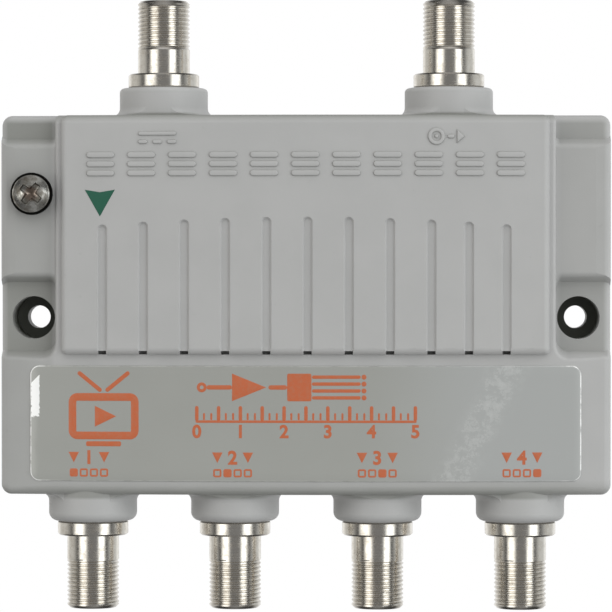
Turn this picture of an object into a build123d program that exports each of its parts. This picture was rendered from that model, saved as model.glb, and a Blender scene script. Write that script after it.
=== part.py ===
from build123d import *
import math
import os

# A drop amplifier for cable television: a die-cast housing with two coaxial ports on top and four below.
# X runs to the viewer's right, Y back towards the wall and Z up.
# The origin is on the rear face, midway between the two wall-screw holes.
# A depth is a distance in front of the rear face, so a point at depth d has Y = -d.
# Sizes are in millimetres and angles in degrees.

# Coaxial ports, measured outwards along each port from the end of its boss
port_pitch = 26.2
boss_radius = 8.1
boss_length = 4.9
boss_flare = 1.4
boss_wall_gap = 1.5
output_boss_edge_radius = 1.6
input_boss_edge_radius = 0.8
shank_radius = 4.4
shank_tip = 0.4
collar_radius = 6.5
collar_length = 2.6
collar_chamfer = 0.3
neck_length = 4.4
thread_radius = 4.7625
thread_length = 9.0
thread_chamfer = 0.5
mouth_radius = 3.5
mouth_floor = 1.5
rear_bore_radius = 2.7
fit_clearance = 0.03

# Housing outline, measured at the rear rim
case_height = 69.6
case_centre_z = 2.3
case_corner_radius = 2.1
case_draft = 1.0

# Arched front: the label plate, which covers the bosses, and the raised block above it
plate_over_boss = 1.9
crown_radius = 500.0
front_edge_radius = 1.5
block_rise = 1.5
block_inset = 1.2
block_bottom_z = -6.65
block_corner_radius = 0.9
block_edge_radius = 1.2

# Flutes down the block, with a narrow slot at each one's foot
flute_width = 1.9
flute_depth = 0.45
flute_wall_angle = 38.0
flute_overcut = 0.3
flute_first_x = -36.8
flute_pitch = 7.46
flute_count = 9
end_flute_pitch = 6.8
end_flute_count = 2
flute_top_z = 18.3
flute_arc_radius = 490.0
slot_width = 1.5
slot_height = 0.66
slot_depth = 1.4

# Lugs at both ends, which carry the wall screws
lug_step = 1.7
ledge_step = 0.32
pocket_step = 2.2
hole_pocket_bottom_z = -6.15
hole_pocket_top_z = 6.5
hole_pocket_corner_radii = (2.4, 1.1)
top_pocket_z = 32.5
top_pocket_corner_radii = (0.7,)
pocket_slope = 27.0
plate_rim_radius = 0.7
ledge_rim_radius = 1.2
rim_least_width = 3.0
depth_tolerance = 0.01
wall_screw_hole_radius = 2.1
counterbore_radius = 3.9
counterbore_inner_wall = 2.0
counterbore_outer_wall = 2.2
lug_floor = 5.0
lug_core_width = 6.0
lug_core_roof = 2.6
lug_core_radius = 1.0
lug_core_margin = 4.3

# Cavity for the electronics, open to the rear
front_wall = 2.4
outer_port_margin = 4.5
cavity_wall = 2.9
cavity_corner_radius = 3.0
seat_width = 1.6

# Rear cover, gasket and cover screws
cover_thickness = 1.2
cover_recess = 0.3
cover_clearance = 0.15
gasket_thickness = 0.5
gasket_clearance = 0.1
pillar_radius = 3.1
pillar_inset = 3.0
screw_hole_spare = 1.0
cover_screw_radius = 1.25
cover_screw_head_radius = 2.35
cover_screw_length = 7.0
screw_clearance = 0.08

# Circuit board, the posts that it stands on and their screws
board_thickness = 1.6
board_gap = 0.5
post_radius = 2.6
post_inset = 8.8
upper_post_z = 11.0
lower_post_z = -17.5
board_screw_radius = 1.2
board_screw_length = 5.0
board_screw_head_radius = 2.2
board_screw_head_height = 1.4
board_screw_head_taper = 0.66

# Insulator and centre contact of a port
insulator_recess = 0.5
entry_radius = 1.0
entry_funnel = 0.6
entry_length = 1.5
contact_radius = 1.2
contact_bore_radius = 0.45
contact_bore_length = 9.0
tail_radius = 0.5
tail_length = 3.5

# Ground screw, number 8 with 32 threads to the inch, and its spring washer
ground_screw_z = 22.5
ground_thread_radius = 2.08
ground_hole_depth = 9.5
ground_screw_length = 8.0
ground_tip_chamfer = 0.4
ground_column_radius = 4.0
ground_head_radius = 3.85
ground_head_height = 2.6
ground_head_dome = 0.5
ground_head_shoulder = 1.2
ground_washer_outer_radius = 3.5
ground_washer_thickness = 1.0
ground_washer_slit = 0.7
thread_clearance = 0.06
seat_clearance = 0.05

# Label film
label_side_margin = 5.7
label_height = 21.0
label_centre_z = -19.2
label_corner_radius = 1.7
label_thickness = 0.2

# Electronics on the front of the board
shield_thickness = 0.5
shield_front_gap = 0.65
shield_step_x = -8.0
shield_upper_z = 4.0
shield_lower_z = -4.5
shield_end_gap = 0.4
core_width = 7.0
core_height = 5.0
core_thickness = 4.0
core_hole_radius = 0.9
core_hole_spacing = 3.2
core_stand = 0.3
core_places = ((0.0, -11.5), (-port_pitch, -15.0), (port_pitch, -15.0))
wire_radius = 0.3
wire_reach = 1.3
wire_bend_radius = 0.9
coil_radius = 2.0
coil_wire = 0.5
coil_leg_radius = 0.2
coil_length = 4.5
coil_stand = 0.4
coil_pitch = 5.6
coil_count = 5
coil_first_x = 2.0
coil_z = 17.5
arrestor_radius = 2.7
arrestor_length = 6.0
arrestor_cap = 1.2
arrestor_waist = 0.25
arrestor_inset = 10.3
arrestor_z = 25.5
can_radius = 3.15
can_height = 5.4
can_base = 6.6
can_base_height = 0.9
can_edge_radius = 0.4
can_x = 10.2 - port_pitch
can_places = ((can_x, 25.0), (can_x, 16.5))
choke_radius = 4.0
choke_height = 4.8
choke_flange = 0.8
choke_core_radius = 2.6
choke_place = (-port_pitch, 15.0)
chip_width = 5.0
chip_height = 4.0
chip_thickness = 1.5
chip_place = (-3.0, 13.0)
lead_width = 0.4
lead_length = 1.0
lead_thickness = 0.2
lead_pitch = 1.27
leads_per_side = 4
regulator_width = 6.5
regulator_height = 3.5
regulator_thickness = 1.6
regulator_tab = 3.0
regulator_place = (-port_pitch - 9.3, 19.5)
capacitor_size = (2.0, 1.25, 0.9)
resistor_size = (1.6, 0.8, 0.5)
capacitor_count = 6
resistor_count = 4
small_part_pitch = 4.2
capacitor_row_x = 4.0
capacitor_row_z = 9.0
resistor_row_x = 4.0
resistor_row_z = 24.0
output_capacitor_z = -21.5


def crown_drop(x):
    """How far the arched front falls back at a distance x from the centre line."""
    return crown_radius - math.sqrt(crown_radius**2 - x**2)


# Across the case: the cavity takes in the ports, and the lugs take in the wall screws
cavity_width = 3 * port_pitch + 2 * outer_port_margin
lug_inner_x = cavity_width / 2 + lug_step
block_width = 2 * (lug_inner_x - block_inset)
wall_screw_x = cavity_width / 2 + counterbore_inner_wall + counterbore_radius
case_width = 2 * (wall_screw_x + counterbore_radius + counterbore_outer_wall)
label_width = case_width - 2 * label_side_margin
upper_pillar_x = cavity_width / 2 - pillar_radius
post_x = cavity_width / 2 - post_inset
arrestor_x = cavity_width / 2 - arrestor_inset

# From the rear face forward: the bosses clear the wall, and the plate covers the bosses
axis_depth = boss_radius + boss_wall_gap
plate_depth = axis_depth + boss_radius + plate_over_boss
block_depth = plate_depth + block_rise
ledge_depth = plate_depth - crown_drop(wall_screw_x) - ledge_step
pocket_depth = ledge_depth - pocket_step
lug_core_depth = pocket_depth - lug_core_roof
gasket_depth = cover_recess + cover_thickness
seat_depth = gasket_depth + gasket_thickness
inner_rod_depth = plate_depth - front_wall / 2

# Up the case, and along the ports
rear_top_z = case_centre_z + case_height / 2
rear_bottom_z = case_centre_z - case_height / 2
cavity_height = case_height - 2 * cavity_wall
cavity_top_z = case_centre_z + cavity_height / 2
cavity_bottom_z = case_centre_z - cavity_height / 2
board_front_depth = axis_depth - tail_radius - fit_clearance
board_rear_depth = board_front_depth - board_thickness
shank_length = boss_length + cavity_wall + shank_tip
port_length = collar_length + neck_length + thread_length
output_sites = [((i - 1.5) * port_pitch, -1) for i in range(4)]
port_sites = {f"output_{i + 1}": site for i, site in enumerate(output_sites)}
port_sites["power_input"] = (-port_pitch, 1)
port_sites["rf_input"] = (port_pitch, 1)
upper_pillar_z = cavity_top_z - pillar_inset
lower_pillar_z = cavity_bottom_z + pillar_inset
pillar_places = [(i * upper_pillar_x, upper_pillar_z) for i in (-1, 0, 1)]
pillar_places += [(i * port_pitch, lower_pillar_z) for i in (-1, 0, 1)]
post_places = [(side * post_x, z) for side in (-1, 1) for z in (upper_post_z, lower_post_z)]

ON_FLOOR = (Align.CENTER, Align.CENTER, Align.MIN)
BOARD_FACE = Plane(origin=(0, -board_front_depth, 0), x_dir=(1, 0, 0), z_dir=(0, -1, 0))


def arched_slab(depth):
    """All that lies between the rear face and an arched surface, at the given depth on the centre line."""
    half = case_width
    side_y = crown_drop(half) - depth
    sides = Polyline((half, side_y), (half, 0), (-half, 0), (-half, side_y))
    arch = ThreePointArc((-half, side_y), (0, -depth), (half, side_y))
    return extrude(make_face(sides + arch), amount=case_height, both=True)


def rear_prism(width, height, centre_z, radius, depth, taper=0.0, start=0.0):
    """A round-cornered prism that runs forward from the start depth to the given depth."""
    outline = Plane.XZ.offset(start) * Pos(0, centre_z) * RectangleRounded(width, height, radius)
    return extrude(outline, amount=depth - start, taper=taper)


def rear_rod(x, z, radius, depth, start=0.0):
    """A round rod along Y, between two depths."""
    return extrude(Plane.XZ.offset(start) * Pos(x, z) * Circle(radius), amount=depth - start)


def side_prism(side, x_from, points):
    """A prism that runs outwards past one end of the case, from (depth, z) corners."""
    outline = Polyline(*[(side * x_from, -depth, z) for depth, z in points], close=True)
    return extrude(make_face(outline), amount=case_width, dir=(side, 0, 0))


def turned(*corners):
    """A solid of revolution about Z, from the (radius, height) corners of its half section."""
    outline = Polyline(*[(radius, 0, height) for radius, height in corners], close=True)
    return revolve(make_face(outline), Axis.Z)


def joined(pieces):
    """Separate solids as one group."""
    return Compound(children=[solid for piece in pieces for solid in piece.solids()])


def port_location(site):
    """The place of a boss's end face, with Z along the port and away from the housing."""
    x, up = site
    rim_z = rear_top_z if up > 0 else rear_bottom_z
    end = (x, -axis_depth, rim_z + up * boss_length)
    return Plane(origin=end, x_dir=(1, 0, 0), z_dir=(0, 0, up)).location


def case_blank():
    """The cast outline: a drafted, arched plate with the raised block on its upper part."""
    rim = (case_width, case_height, case_centre_z, case_corner_radius)
    envelope = rear_prism(*rim, 2 * plate_depth, case_draft)
    plate = envelope & arched_slab(plate_depth)
    plate_front = plate.faces().filter_by(GeomType.CYLINDER).sort_by(Axis.Y)[0]
    plate = fillet(plate_front.edges(), front_edge_radius)

    block_height = case_height
    block_centre_z = block_bottom_z + block_height / 2
    block = rear_prism(block_width, block_height, block_centre_z, block_corner_radius, 2 * plate_depth)
    block = block & envelope & arched_slab(block_depth)
    top_edge = block.faces().sort_by(Axis.Y)[0].edges().sort_by(Axis.Z)[-1]
    block = fillet(top_edge, front_edge_radius)
    block_front = block.faces().filter_by(GeomType.CYLINDER).sort_by(Axis.Y)[0]
    lower_edges = block_front.edges().sort_by(Axis.Z)[:-1]
    block = fillet(lower_edges, block_edge_radius)
    return plate, block


def pocket_cut(side, points, corner_radii):
    """The cut of an open pocket, with its inner corners rounded from the lowest one up."""
    cut = side_prism(side, lug_inner_x, points)
    for place, radius in zip((0, -1), corner_radii):
        inner_end = cut.faces().sort_by(Axis.X)[0 if side > 0 else -1]
        cut = fillet(inner_end.edges().sort_by(Axis.Z)[place], radius)
    return cut


def cut_lugs(plate):
    """Sets the ledges and the open pockets into both ends of the plate, and rounds their edges."""
    mouth = plate_depth + block_rise
    spread = (mouth - pocket_depth) * math.tan(math.radians(pocket_slope))
    above = 2 * case_height
    ledge = ((ledge_depth, 0), (ledge_depth, top_pocket_z), (mouth, top_pocket_z), (mouth, 0))
    hole_pocket = ((pocket_depth, hole_pocket_bottom_z), (pocket_depth, hole_pocket_top_z),
                   (mouth, hole_pocket_top_z + spread), (mouth, hole_pocket_bottom_z - spread))
    top_pocket = ((pocket_depth, top_pocket_z), (pocket_depth, above), (mouth, above),
                  (mouth, top_pocket_z - spread))
    for side in (-1, 1):
        plate = plate - side_prism(side, lug_inner_x, ledge)
        plate = plate - pocket_cut(side, hole_pocket, hole_pocket_corner_radii)
        plate = plate - pocket_cut(side, top_pocket, top_pocket_corner_radii)
        plate = fillet(pocket_outer_edges(plate, side), front_edge_radius)
        plate = fillet(pocket_rims(plate, side)[1:], ledge_rim_radius)
        plate = fillet(pocket_rims(plate, side)[0], plate_rim_radius)
    return plate


def pocket_rims(plate, side):
    """The front edges of the pocket walls that run across one end, from the lowest one up."""
    rims = ShapeList()
    for edge in plate.edges():
        centre = edge.center()
        width = abs((edge @ 1 - edge @ 0).X)
        on_lug = side * centre.X > lug_inner_x and width > rim_least_width
        if on_lug and centre.Y < (-pocket_depth - ledge_depth) / 2:
            rims.append(edge)
    return rims.sort_by(Axis.Z)


def pocket_outer_edges(plate, side):
    """The outer edges of the pocket floors at one end, round to the top of the upper one."""
    found = []
    for edge in plate.edges():
        centre = edge.center()
        at_end = side * centre.X > wall_screw_x + counterbore_radius
        on_top = centre.Z > rear_top_z - case_corner_radius / 2 and side * centre.X > lug_inner_x
        if abs(centre.Y + pocket_depth) < depth_tolerance and (at_end or on_top):
            found.append(edge)
    return found


def flute_centres():
    """The flutes' places across the block: an even row, then a closer pair at its right."""
    row = [flute_first_x + i * flute_pitch for i in range(flute_count)]
    return row + [row[-1] + (i + 1) * end_flute_pitch for i in range(end_flute_count)]


def flute(x):
    """The cut of one round-topped flute with sloping walls."""
    depth = block_depth - crown_drop(x)
    spread = flute_overcut * math.tan(math.radians(flute_wall_angle))
    radius = flute_width / 2 + spread
    top_z = flute_top_z - (flute_arc_radius - math.sqrt(flute_arc_radius**2 - x**2)) - flute_width / 2
    foot_z = block_bottom_z - flute_width
    stem = Pos(0, (top_z + foot_z) / 2) * Rectangle(2 * radius, top_z - foot_z)
    outline = stem + Pos(0, top_z) * Circle(radius)
    start = Plane(origin=(x, -depth - flute_overcut, 0), x_dir=(-1, 0, 0), z_dir=(0, 1, 0))
    return extrude(start * outline, amount=flute_depth + flute_overcut, taper=flute_wall_angle)


def foot_slot(x):
    """The cut of the narrow slot at the foot of a flute."""
    floor = plate_depth - crown_drop(x) - slot_depth
    place = Plane.XZ.offset(floor) * Pos(x, block_bottom_z + slot_height / 2)
    return extrude(place * Rectangle(slot_width, slot_height), amount=slot_depth + block_rise)


def port_boss(site):
    """A round boss with a rounded end and a flare where it leaves the wall."""
    x, up = site
    edge_radius = input_boss_edge_radius if up > 0 else output_boss_edge_radius
    root = -boss_length - cavity_wall / 2
    rod = turned((0, root), (boss_radius, root), (boss_radius, 0), (0, 0))
    rod = fillet(rod.edges().sort_by(Axis.Z)[-1], edge_radius)
    wall = -boss_length - axis_depth * math.tan(math.radians(case_draft))
    wide = boss_radius + boss_flare
    bend = boss_flare * (1 - math.sqrt(0.5))
    tangent = (boss_radius, 0, wall + boss_flare)
    sides = Polyline(tangent, (boss_radius, 0, root), (wide, 0, root), (wide, 0, wall))
    hollow = ThreePointArc((wide, 0, wall), (boss_radius + bend, 0, wall + bend), tangent)
    flare = port_location(site) * revolve(make_face(sides + hollow), Axis.Z)
    return port_location(site) * rod, flare & arched_slab(plate_depth - front_edge_radius)


def cavity_cut():
    """The room for the electronics, with the stepped seat of the gasket and the cover at its rear."""
    room = rear_prism(cavity_width, cavity_height, case_centre_z, cavity_corner_radius, plate_depth)
    room = room & arched_slab(plate_depth - front_wall)
    seat = rear_prism(*seat_outline(0), seat_depth)
    return room + seat


def seat_outline(gap):
    """Width, height, centre and corner radius of what sits in the rear seat with a gap all round."""
    width = cavity_width + 2 * (seat_width - gap)
    height = cavity_height + 2 * (seat_width - gap)
    return width, height, case_centre_z, cavity_corner_radius + seat_width - gap


def lug_cores():
    """Rear hollows that keep the lugs' walls even, with a solid column left for each screw."""
    low = hole_pocket_bottom_z - lug_core_margin / 2
    high = hole_pocket_top_z + lug_core_margin / 2
    spans = ((high, cavity_top_z), (cavity_bottom_z, low))
    cores = []
    for side in (-1, 1):
        for bottom, top in spans:
            place = Pos(side * wall_screw_x, (bottom + top) / 2)
            outline = Plane.XZ * place * RectangleRounded(lug_core_width, top - bottom, lug_core_radius)
            cores.append(extrude(outline, amount=lug_core_depth, taper=case_draft))
    column = rear_rod(-wall_screw_x, ground_screw_z, ground_column_radius, plate_depth)
    return [core - column for core in cores]


def housing():
    """The die-cast shell, with bosses, lugs, flutes, inner pillars and posts, and all its holes."""
    plate, block = case_blank()
    shell = cut_lugs(plate) + block
    for site in port_sites.values():
        rod, flare = port_boss(site)
        shell = shell + rod + flare
    shell = shell - cavity_cut()
    for core in lug_cores():
        shell = shell - core
    for x, z in pillar_places:
        pillar = rear_rod(x, z, pillar_radius, inner_rod_depth, gasket_depth)
        shell = shell + (pillar & arched_slab(inner_rod_depth))
    for x, z in post_places:
        post = rear_rod(x, z, post_radius, inner_rod_depth, board_front_depth)
        shell = shell + (post & arched_slab(inner_rod_depth))
    for x in flute_centres():
        shell = shell - flute(x) - foot_slot(x)
    return shell - housing_holes()


def housing_holes():
    """Bores for the ports, and holes for the wall, ground, cover and board screws."""
    holes = []
    for site in port_sites.values():
        bore = Cylinder(shank_radius + fit_clearance, 2 * shank_length)
        holes.append(port_location(site) * bore)
    for side in (-1, 1):
        holes.append(rear_rod(side * wall_screw_x, 0, wall_screw_hole_radius, plate_depth))
        holes.append(rear_rod(side * wall_screw_x, 0, counterbore_radius, plate_depth, lug_floor))
    ground_floor = ledge_depth - ground_hole_depth
    ground_radius = ground_thread_radius + thread_clearance
    holes.append(rear_rod(-wall_screw_x, ground_screw_z, ground_radius, plate_depth, ground_floor))
    for x, z in pillar_places:
        tip = cover_recess + cover_screw_length
        holes.append(rear_rod(x, z, cover_screw_radius, tip + screw_hole_spare))
    for x, z in post_places:
        tip = board_rear_depth + board_screw_length
        holes.append(rear_rod(x, z, board_screw_radius, tip + screw_hole_spare))
    return holes


def rear_cover():
    """The flat stamped cover, with countersunk screw holes."""
    plate = rear_prism(*seat_outline(cover_clearance), gasket_depth, start=cover_recess)
    for x, z in pillar_places:
        plate = plate - screw_place(x, z, cover_recess) * countersunk_screw(screw_clearance)
    return plate


def cover_gasket():
    """The flat gasket between the cover and the seat, which follows the cavity's edge."""
    outer = rear_prism(*seat_outline(gasket_clearance), seat_depth, start=gasket_depth)
    inner = rear_prism(cavity_width, cavity_height, case_centre_z, cavity_corner_radius, plate_depth)
    ring = outer - inner
    for x, z in pillar_places:
        ring = ring - rear_rod(x, z, pillar_radius + gasket_clearance, plate_depth)
    return ring


def screw_place(x, z, depth):
    """A place at the given depth, with Z pointing forward into the housing."""
    return Plane(origin=(x, -depth, z), x_dir=(1, 0, 0), z_dir=(0, -1, 0)).location


def countersunk_screw(gap=0.0):
    """A cover screw with its head's face at zero, or with a gap the room that it needs."""
    radius = cover_screw_radius + gap
    head = cover_screw_head_radius + gap
    cone = head - radius
    return turned((0, 0), (head, 0), (radius, cone), (radius, cover_screw_length), (0, cover_screw_length))


def cover_screws():
    """The six countersunk screws that hold the cover."""
    return joined([screw_place(x, z, cover_recess) * countersunk_screw() for x, z in pillar_places])


def circuit_board():
    """The board, notched round the pillars and drilled for its screws."""
    width = cavity_width - 2 * board_gap
    height = cavity_height - 2 * board_gap
    radius = cavity_corner_radius - board_gap
    board = rear_prism(width, height, case_centre_z, radius, board_front_depth, start=board_rear_depth)
    for x, z in pillar_places:
        outwards = 1 if z > case_centre_z else -1
        reach = pillar_radius + board_gap
        slot = Pos(x, z + outwards * pillar_inset) * Rectangle(2 * reach, 2 * pillar_inset)
        board = board - rear_rod(x, z, reach, plate_depth) - extrude(Plane.XZ * slot, amount=plate_depth)
    for x, z in post_places:
        board = board - rear_rod(x, z, board_screw_radius + screw_clearance, plate_depth)
    return board


def board_screws():
    """The four pan-head screws that hold the board to its posts from the rear."""
    head = board_screw_head_radius
    shank = board_screw_radius
    rise = board_screw_head_height
    screw = turned((0, -rise), (head - board_screw_head_taper, -rise), (head, -rise / 2), (head, 0),
                   (shank, 0), (shank, board_screw_length), (0, board_screw_length))
    return joined([screw_place(x, z, board_rear_depth) * screw for x, z in post_places])


def port_body(site):
    """A turned port: rear shank, round collar, plain neck and threaded nose, bored through."""
    nose = port_length - thread_chamfer
    collar = collar_radius - collar_chamfer
    nose_radius = thread_radius - thread_chamfer
    body = turned((rear_bore_radius, -shank_length), (shank_radius, -shank_length), (shank_radius, 0),
                  (collar, 0), (collar_radius, collar_chamfer),
                  (collar_radius, collar_length - collar_chamfer),
                  (collar, collar_length), (thread_radius, collar_length), (thread_radius, nose),
                  (nose_radius, port_length), (mouth_radius, port_length), (mouth_radius, mouth_floor),
                  (rear_bore_radius, mouth_floor))
    return port_location(site) * body


def port_insulator(site):
    """The stepped plastic insulator, with a funnel that leads a cable's wire into the contact."""
    front = port_length - insulator_recess
    wide = mouth_radius - fit_clearance
    narrow = rear_bore_radius - fit_clearance
    chamber = contact_radius + fit_clearance
    tail = tail_radius + fit_clearance
    shoulder = front - entry_length
    stop = shoulder - contact_length() - fit_clearance
    body = turned((chamber, shoulder), (entry_radius, shoulder), (entry_radius, front - entry_funnel),
                  (entry_radius + entry_funnel, front), (wide, front), (wide, mouth_floor + fit_clearance),
                  (narrow, mouth_floor + fit_clearance), (narrow, -shank_length), (tail, -shank_length),
                  (tail, stop), (chamber, stop))
    return port_location(site) * body


def contact_length():
    """Length of a contact's wide part, which ends halfway down the shank."""
    return port_length - insulator_recess - entry_length + shank_length / 2


def port_contact(site):
    """The centre contact: a sleeve that grips a cable's wire, and a tail that reaches the board."""
    front = port_length - insulator_recess - entry_length - fit_clearance
    rear = front - contact_length() + fit_clearance
    tip = -shank_length - tail_length
    body = turned((0, front - contact_bore_length), (contact_bore_radius, front - contact_bore_length),
                  (contact_bore_radius, front), (contact_radius, front), (contact_radius, rear),
                  (tail_radius, rear), (tail_radius, tip), (0, tip))
    return port_location(site) * body


def ground_place():
    """The ground screw's place on the left ledge, with Z pointing out towards the viewer."""
    return screw_place(-wall_screw_x, ground_screw_z, ledge_depth)


def ground_washer():
    """The split spring washer under the ground screw's head."""
    inner = ground_thread_radius + thread_clearance
    outer = ground_washer_outer_radius
    base = seat_clearance
    top = base + ground_washer_thickness
    ring = turned((inner, base), (outer, base), (outer, top), (inner, top))
    slit = Pos(outer, 0, top / 2) * Box(2 * inner, ground_washer_slit, 2 * top)
    return ground_place() * (ring - slit)


def ground_screw():
    """The pan-head ground screw, with a plain shank where its thread lies."""
    under = ground_washer_thickness + 2 * seat_clearance
    rim = under + ground_head_height - ground_head_dome
    crown = under + ground_head_height
    tip = under - ground_screw_length
    shank = ground_thread_radius
    point = shank - ground_tip_chamfer
    sides = Polyline((0, 0, crown), (0, 0, tip), (point, 0, tip), (shank, 0, tip + ground_tip_chamfer),
                     (shank, 0, under), (ground_head_radius, 0, under), (ground_head_radius, 0, rim))
    dome_radius = (ground_head_radius**2 + ground_head_dome**2) / (2 * ground_head_dome)
    half = ground_head_radius / 2
    mid = (half, 0, crown - dome_radius + math.sqrt(dome_radius**2 - half**2))
    dome = ThreePointArc((ground_head_radius, 0, rim), mid, (0, 0, crown))
    screw = revolve(make_face(sides + dome), Axis.Z)
    rings = screw.edges().filter_by(lambda edge: edge.is_closed)
    return ground_place() * fillet(rings.sort_by(Axis.Z)[-1], ground_head_shoulder)


def label_film():
    """The clear film on the plate, which follows its arch."""
    outline = rear_prism(label_width, label_height, label_centre_z, label_corner_radius, 2 * plate_depth)
    return outline & (arched_slab(plate_depth + label_thickness) - arched_slab(plate_depth))


def on_board(x, z):
    """A place on the board's front, with Z pointing towards the viewer."""
    return BOARD_FACE.location * Pos(x, z)


def shield_wall():
    """The bent tin wall between the amplifier above and the splitter below."""
    end_x = cavity_width / 2 - shield_end_gap
    height = plate_depth - crown_drop(end_x) - front_wall - shield_front_gap - board_front_depth
    path = Polyline((-end_x, shield_upper_z), (shield_step_x, shield_upper_z),
                    (shield_step_x, shield_lower_z), (end_x, shield_lower_z))
    return on_board(0, 0) * extrude(trace(path, shield_thickness), amount=height)


def splitter_cores():
    """The three two-hole ferrite cores of the four-way splitter."""
    core = Pos(0, 0, core_stand + core_thickness / 2) * Box(core_width, core_height, core_thickness)
    for side in (-1, 1):
        hole = Cylinder(core_hole_radius, 2 * core_height, rotation=(90, 0, 0))
        core = core - Pos(side * core_hole_spacing / 2, 0, core_stand + core_thickness / 2) * hole
    return joined([on_board(x, z) * core for x, z in core_places])


def core_windings():
    """One wire loop through each core, with both ends turned down to the board."""
    side = core_hole_spacing / 2
    level = core_stand + core_thickness / 2
    reach = core_height / 2 + wire_reach
    points = ((-side, -reach, 0), (-side, -reach, level), (-side, reach, level), (side, reach, level),
              (side, -reach, level), (side, -reach, 0))
    path = FilletPolyline(*points, radius=wire_bend_radius)
    wire = sweep(Plane(origin=points[0], z_dir=(0, 0, 1)) * Circle(wire_radius), path=path)
    return joined([on_board(x, z) * wire for x, z in core_places])


def filter_coils():
    """The row of air-core coils of the input filter, each a close-wound sleeve on two legs."""
    level = coil_stand + coil_radius
    sleeve = Cylinder(coil_radius, coil_length) - Cylinder(coil_radius - coil_wire, 2 * coil_length)
    coil = Pos(0, 0, level) * Rot(90, 0, 0) * sleeve
    for end in (-1, 1):
        leg = Cylinder(coil_leg_radius, level, align=ON_FLOOR)
        coil = coil + Pos(coil_radius - coil_wire / 2, end * (coil_length - coil_wire) / 2, 0) * leg
    return joined([on_board(coil_first_x + i * coil_pitch, coil_z) * coil for i in range(coil_count)])


def surge_arrestors():
    """The two gas tubes that guard the input ports, lying on the board."""
    half = arrestor_length / 2
    waist = arrestor_radius - arrestor_waist
    cap = half - arrestor_cap
    tube = turned((0, -half), (arrestor_radius, -half), (arrestor_radius, -cap), (waist, -cap), (waist, cap),
                  (arrestor_radius, cap), (arrestor_radius, half), (0, half))
    tube = Pos(0, 0, arrestor_radius) * Rot(90, 0, 0) * tube
    return joined([on_board(side * arrestor_x, arrestor_z) * tube for side in (-1, 1)])


def electrolytic_capacitors():
    """The two supply capacitors, cans on square bases."""
    top = can_base_height + can_height
    base = Box(can_base, can_base, can_base_height, align=ON_FLOOR)
    can = Cylinder(can_radius, top, align=ON_FLOOR)
    can = fillet(can.edges().sort_by(Axis.Z)[-1], can_edge_radius)
    return joined([on_board(x, z) * (base + can) for x, z in can_places])


def power_choke():
    """The drum choke of the supply filter."""
    top = choke_height - choke_flange
    drum = turned((0, 0), (choke_radius, 0), (choke_radius, choke_flange),
                  (choke_core_radius, choke_flange), (choke_core_radius, top), (choke_radius, top),
                  (choke_radius, choke_height), (0, choke_height))
    return on_board(*choke_place) * drum


def amplifier_chip():
    """The amplifier chip, with its leads along both sides."""
    body = Box(chip_width, chip_height, chip_thickness, align=ON_FLOOR)
    lead = Box(lead_width, lead_length, lead_thickness, align=ON_FLOOR)
    for side in (-1, 1):
        for i in range(leads_per_side):
            lead_x = (i - (leads_per_side - 1) / 2) * lead_pitch
            lead_y = side * (chip_height / 2 + lead_length / 2)
            body = body + Pos(lead_x, lead_y, 0) * lead
    return on_board(*chip_place) * body


def voltage_regulator():
    """The supply regulator: a moulded body with one wide tab and three leads."""
    body = Box(regulator_width, regulator_height, regulator_thickness, align=ON_FLOOR)
    reach = regulator_height / 2 + lead_length / 2
    body = body + Pos(0, reach, 0) * Box(regulator_tab, lead_length, lead_thickness, align=ON_FLOOR)
    lead = Box(2 * lead_width, lead_length, lead_thickness, align=ON_FLOOR)
    for i in (-1, 0, 1):
        body = body + Pos(i * 2 * lead_pitch, -reach, 0) * lead
    return on_board(*regulator_place) * body


def chip_row(size, first_x, z, pitch, count):
    """A row of small rectangular parts on the board."""
    chip = Box(*size, align=ON_FLOOR)
    return [on_board(first_x + i * pitch, z) * chip for i in range(count)]


def ceramic_capacitors():
    """The blocking capacitors beside the outputs, and a row beside the amplifier."""
    row = chip_row(capacitor_size, capacitor_row_x, capacitor_row_z, small_part_pitch, capacitor_count)
    outputs = chip_row(capacitor_size, -1.5 * port_pitch, output_capacitor_z, port_pitch, 4)
    return joined(row + outputs)


def chip_resistors():
    """The row of resistors above the filter coils."""
    row = chip_row(resistor_size, resistor_row_x, resistor_row_z, small_part_pitch, resistor_count)
    return joined(row)


def all_parts():
    """Every sub-part by its name."""
    parts = {
        "housing": housing(),
        "rear_cover": rear_cover(),
        "cover_gasket": cover_gasket(),
        "cover_screws": cover_screws(),
        "circuit_board": circuit_board(),
        "board_screws": board_screws(),
        "label_film": label_film(),
        "ground_screw": ground_screw(),
        "ground_washer": ground_washer(),
        "shield_wall": shield_wall(),
        "splitter_cores": splitter_cores(),
        "core_windings": core_windings(),
        "filter_coils": filter_coils(),
        "surge_arrestors": surge_arrestors(),
        "electrolytic_capacitors": electrolytic_capacitors(),
        "power_choke": power_choke(),
        "amplifier_chip": amplifier_chip(),
        "voltage_regulator": voltage_regulator(),
        "ceramic_capacitors": ceramic_capacitors(),
        "chip_resistors": chip_resistors(),
    }
    for name, site in port_sites.items():
        parts[f"{name}_port"] = port_body(site)
        parts[f"{name}_insulator"] = port_insulator(site)
        parts[f"{name}_contact"] = port_contact(site)
    return parts


os.makedirs("parts", exist_ok=True)
for name, shape in all_parts().items():
    export_step(shape, f"parts/{name}.step")
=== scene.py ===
"""A wall-mounted signal amplifier for cable television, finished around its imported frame.

X runs to the viewer's right, Y back towards the wall and Z up, in metres. Sizes that belong to one
sub-assembly are fields of its class. The ports', screws' and film's places are read from the frame.
"""
import logging
import math
from dataclasses import dataclass, replace
from enum import Enum
from functools import reduce

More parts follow.
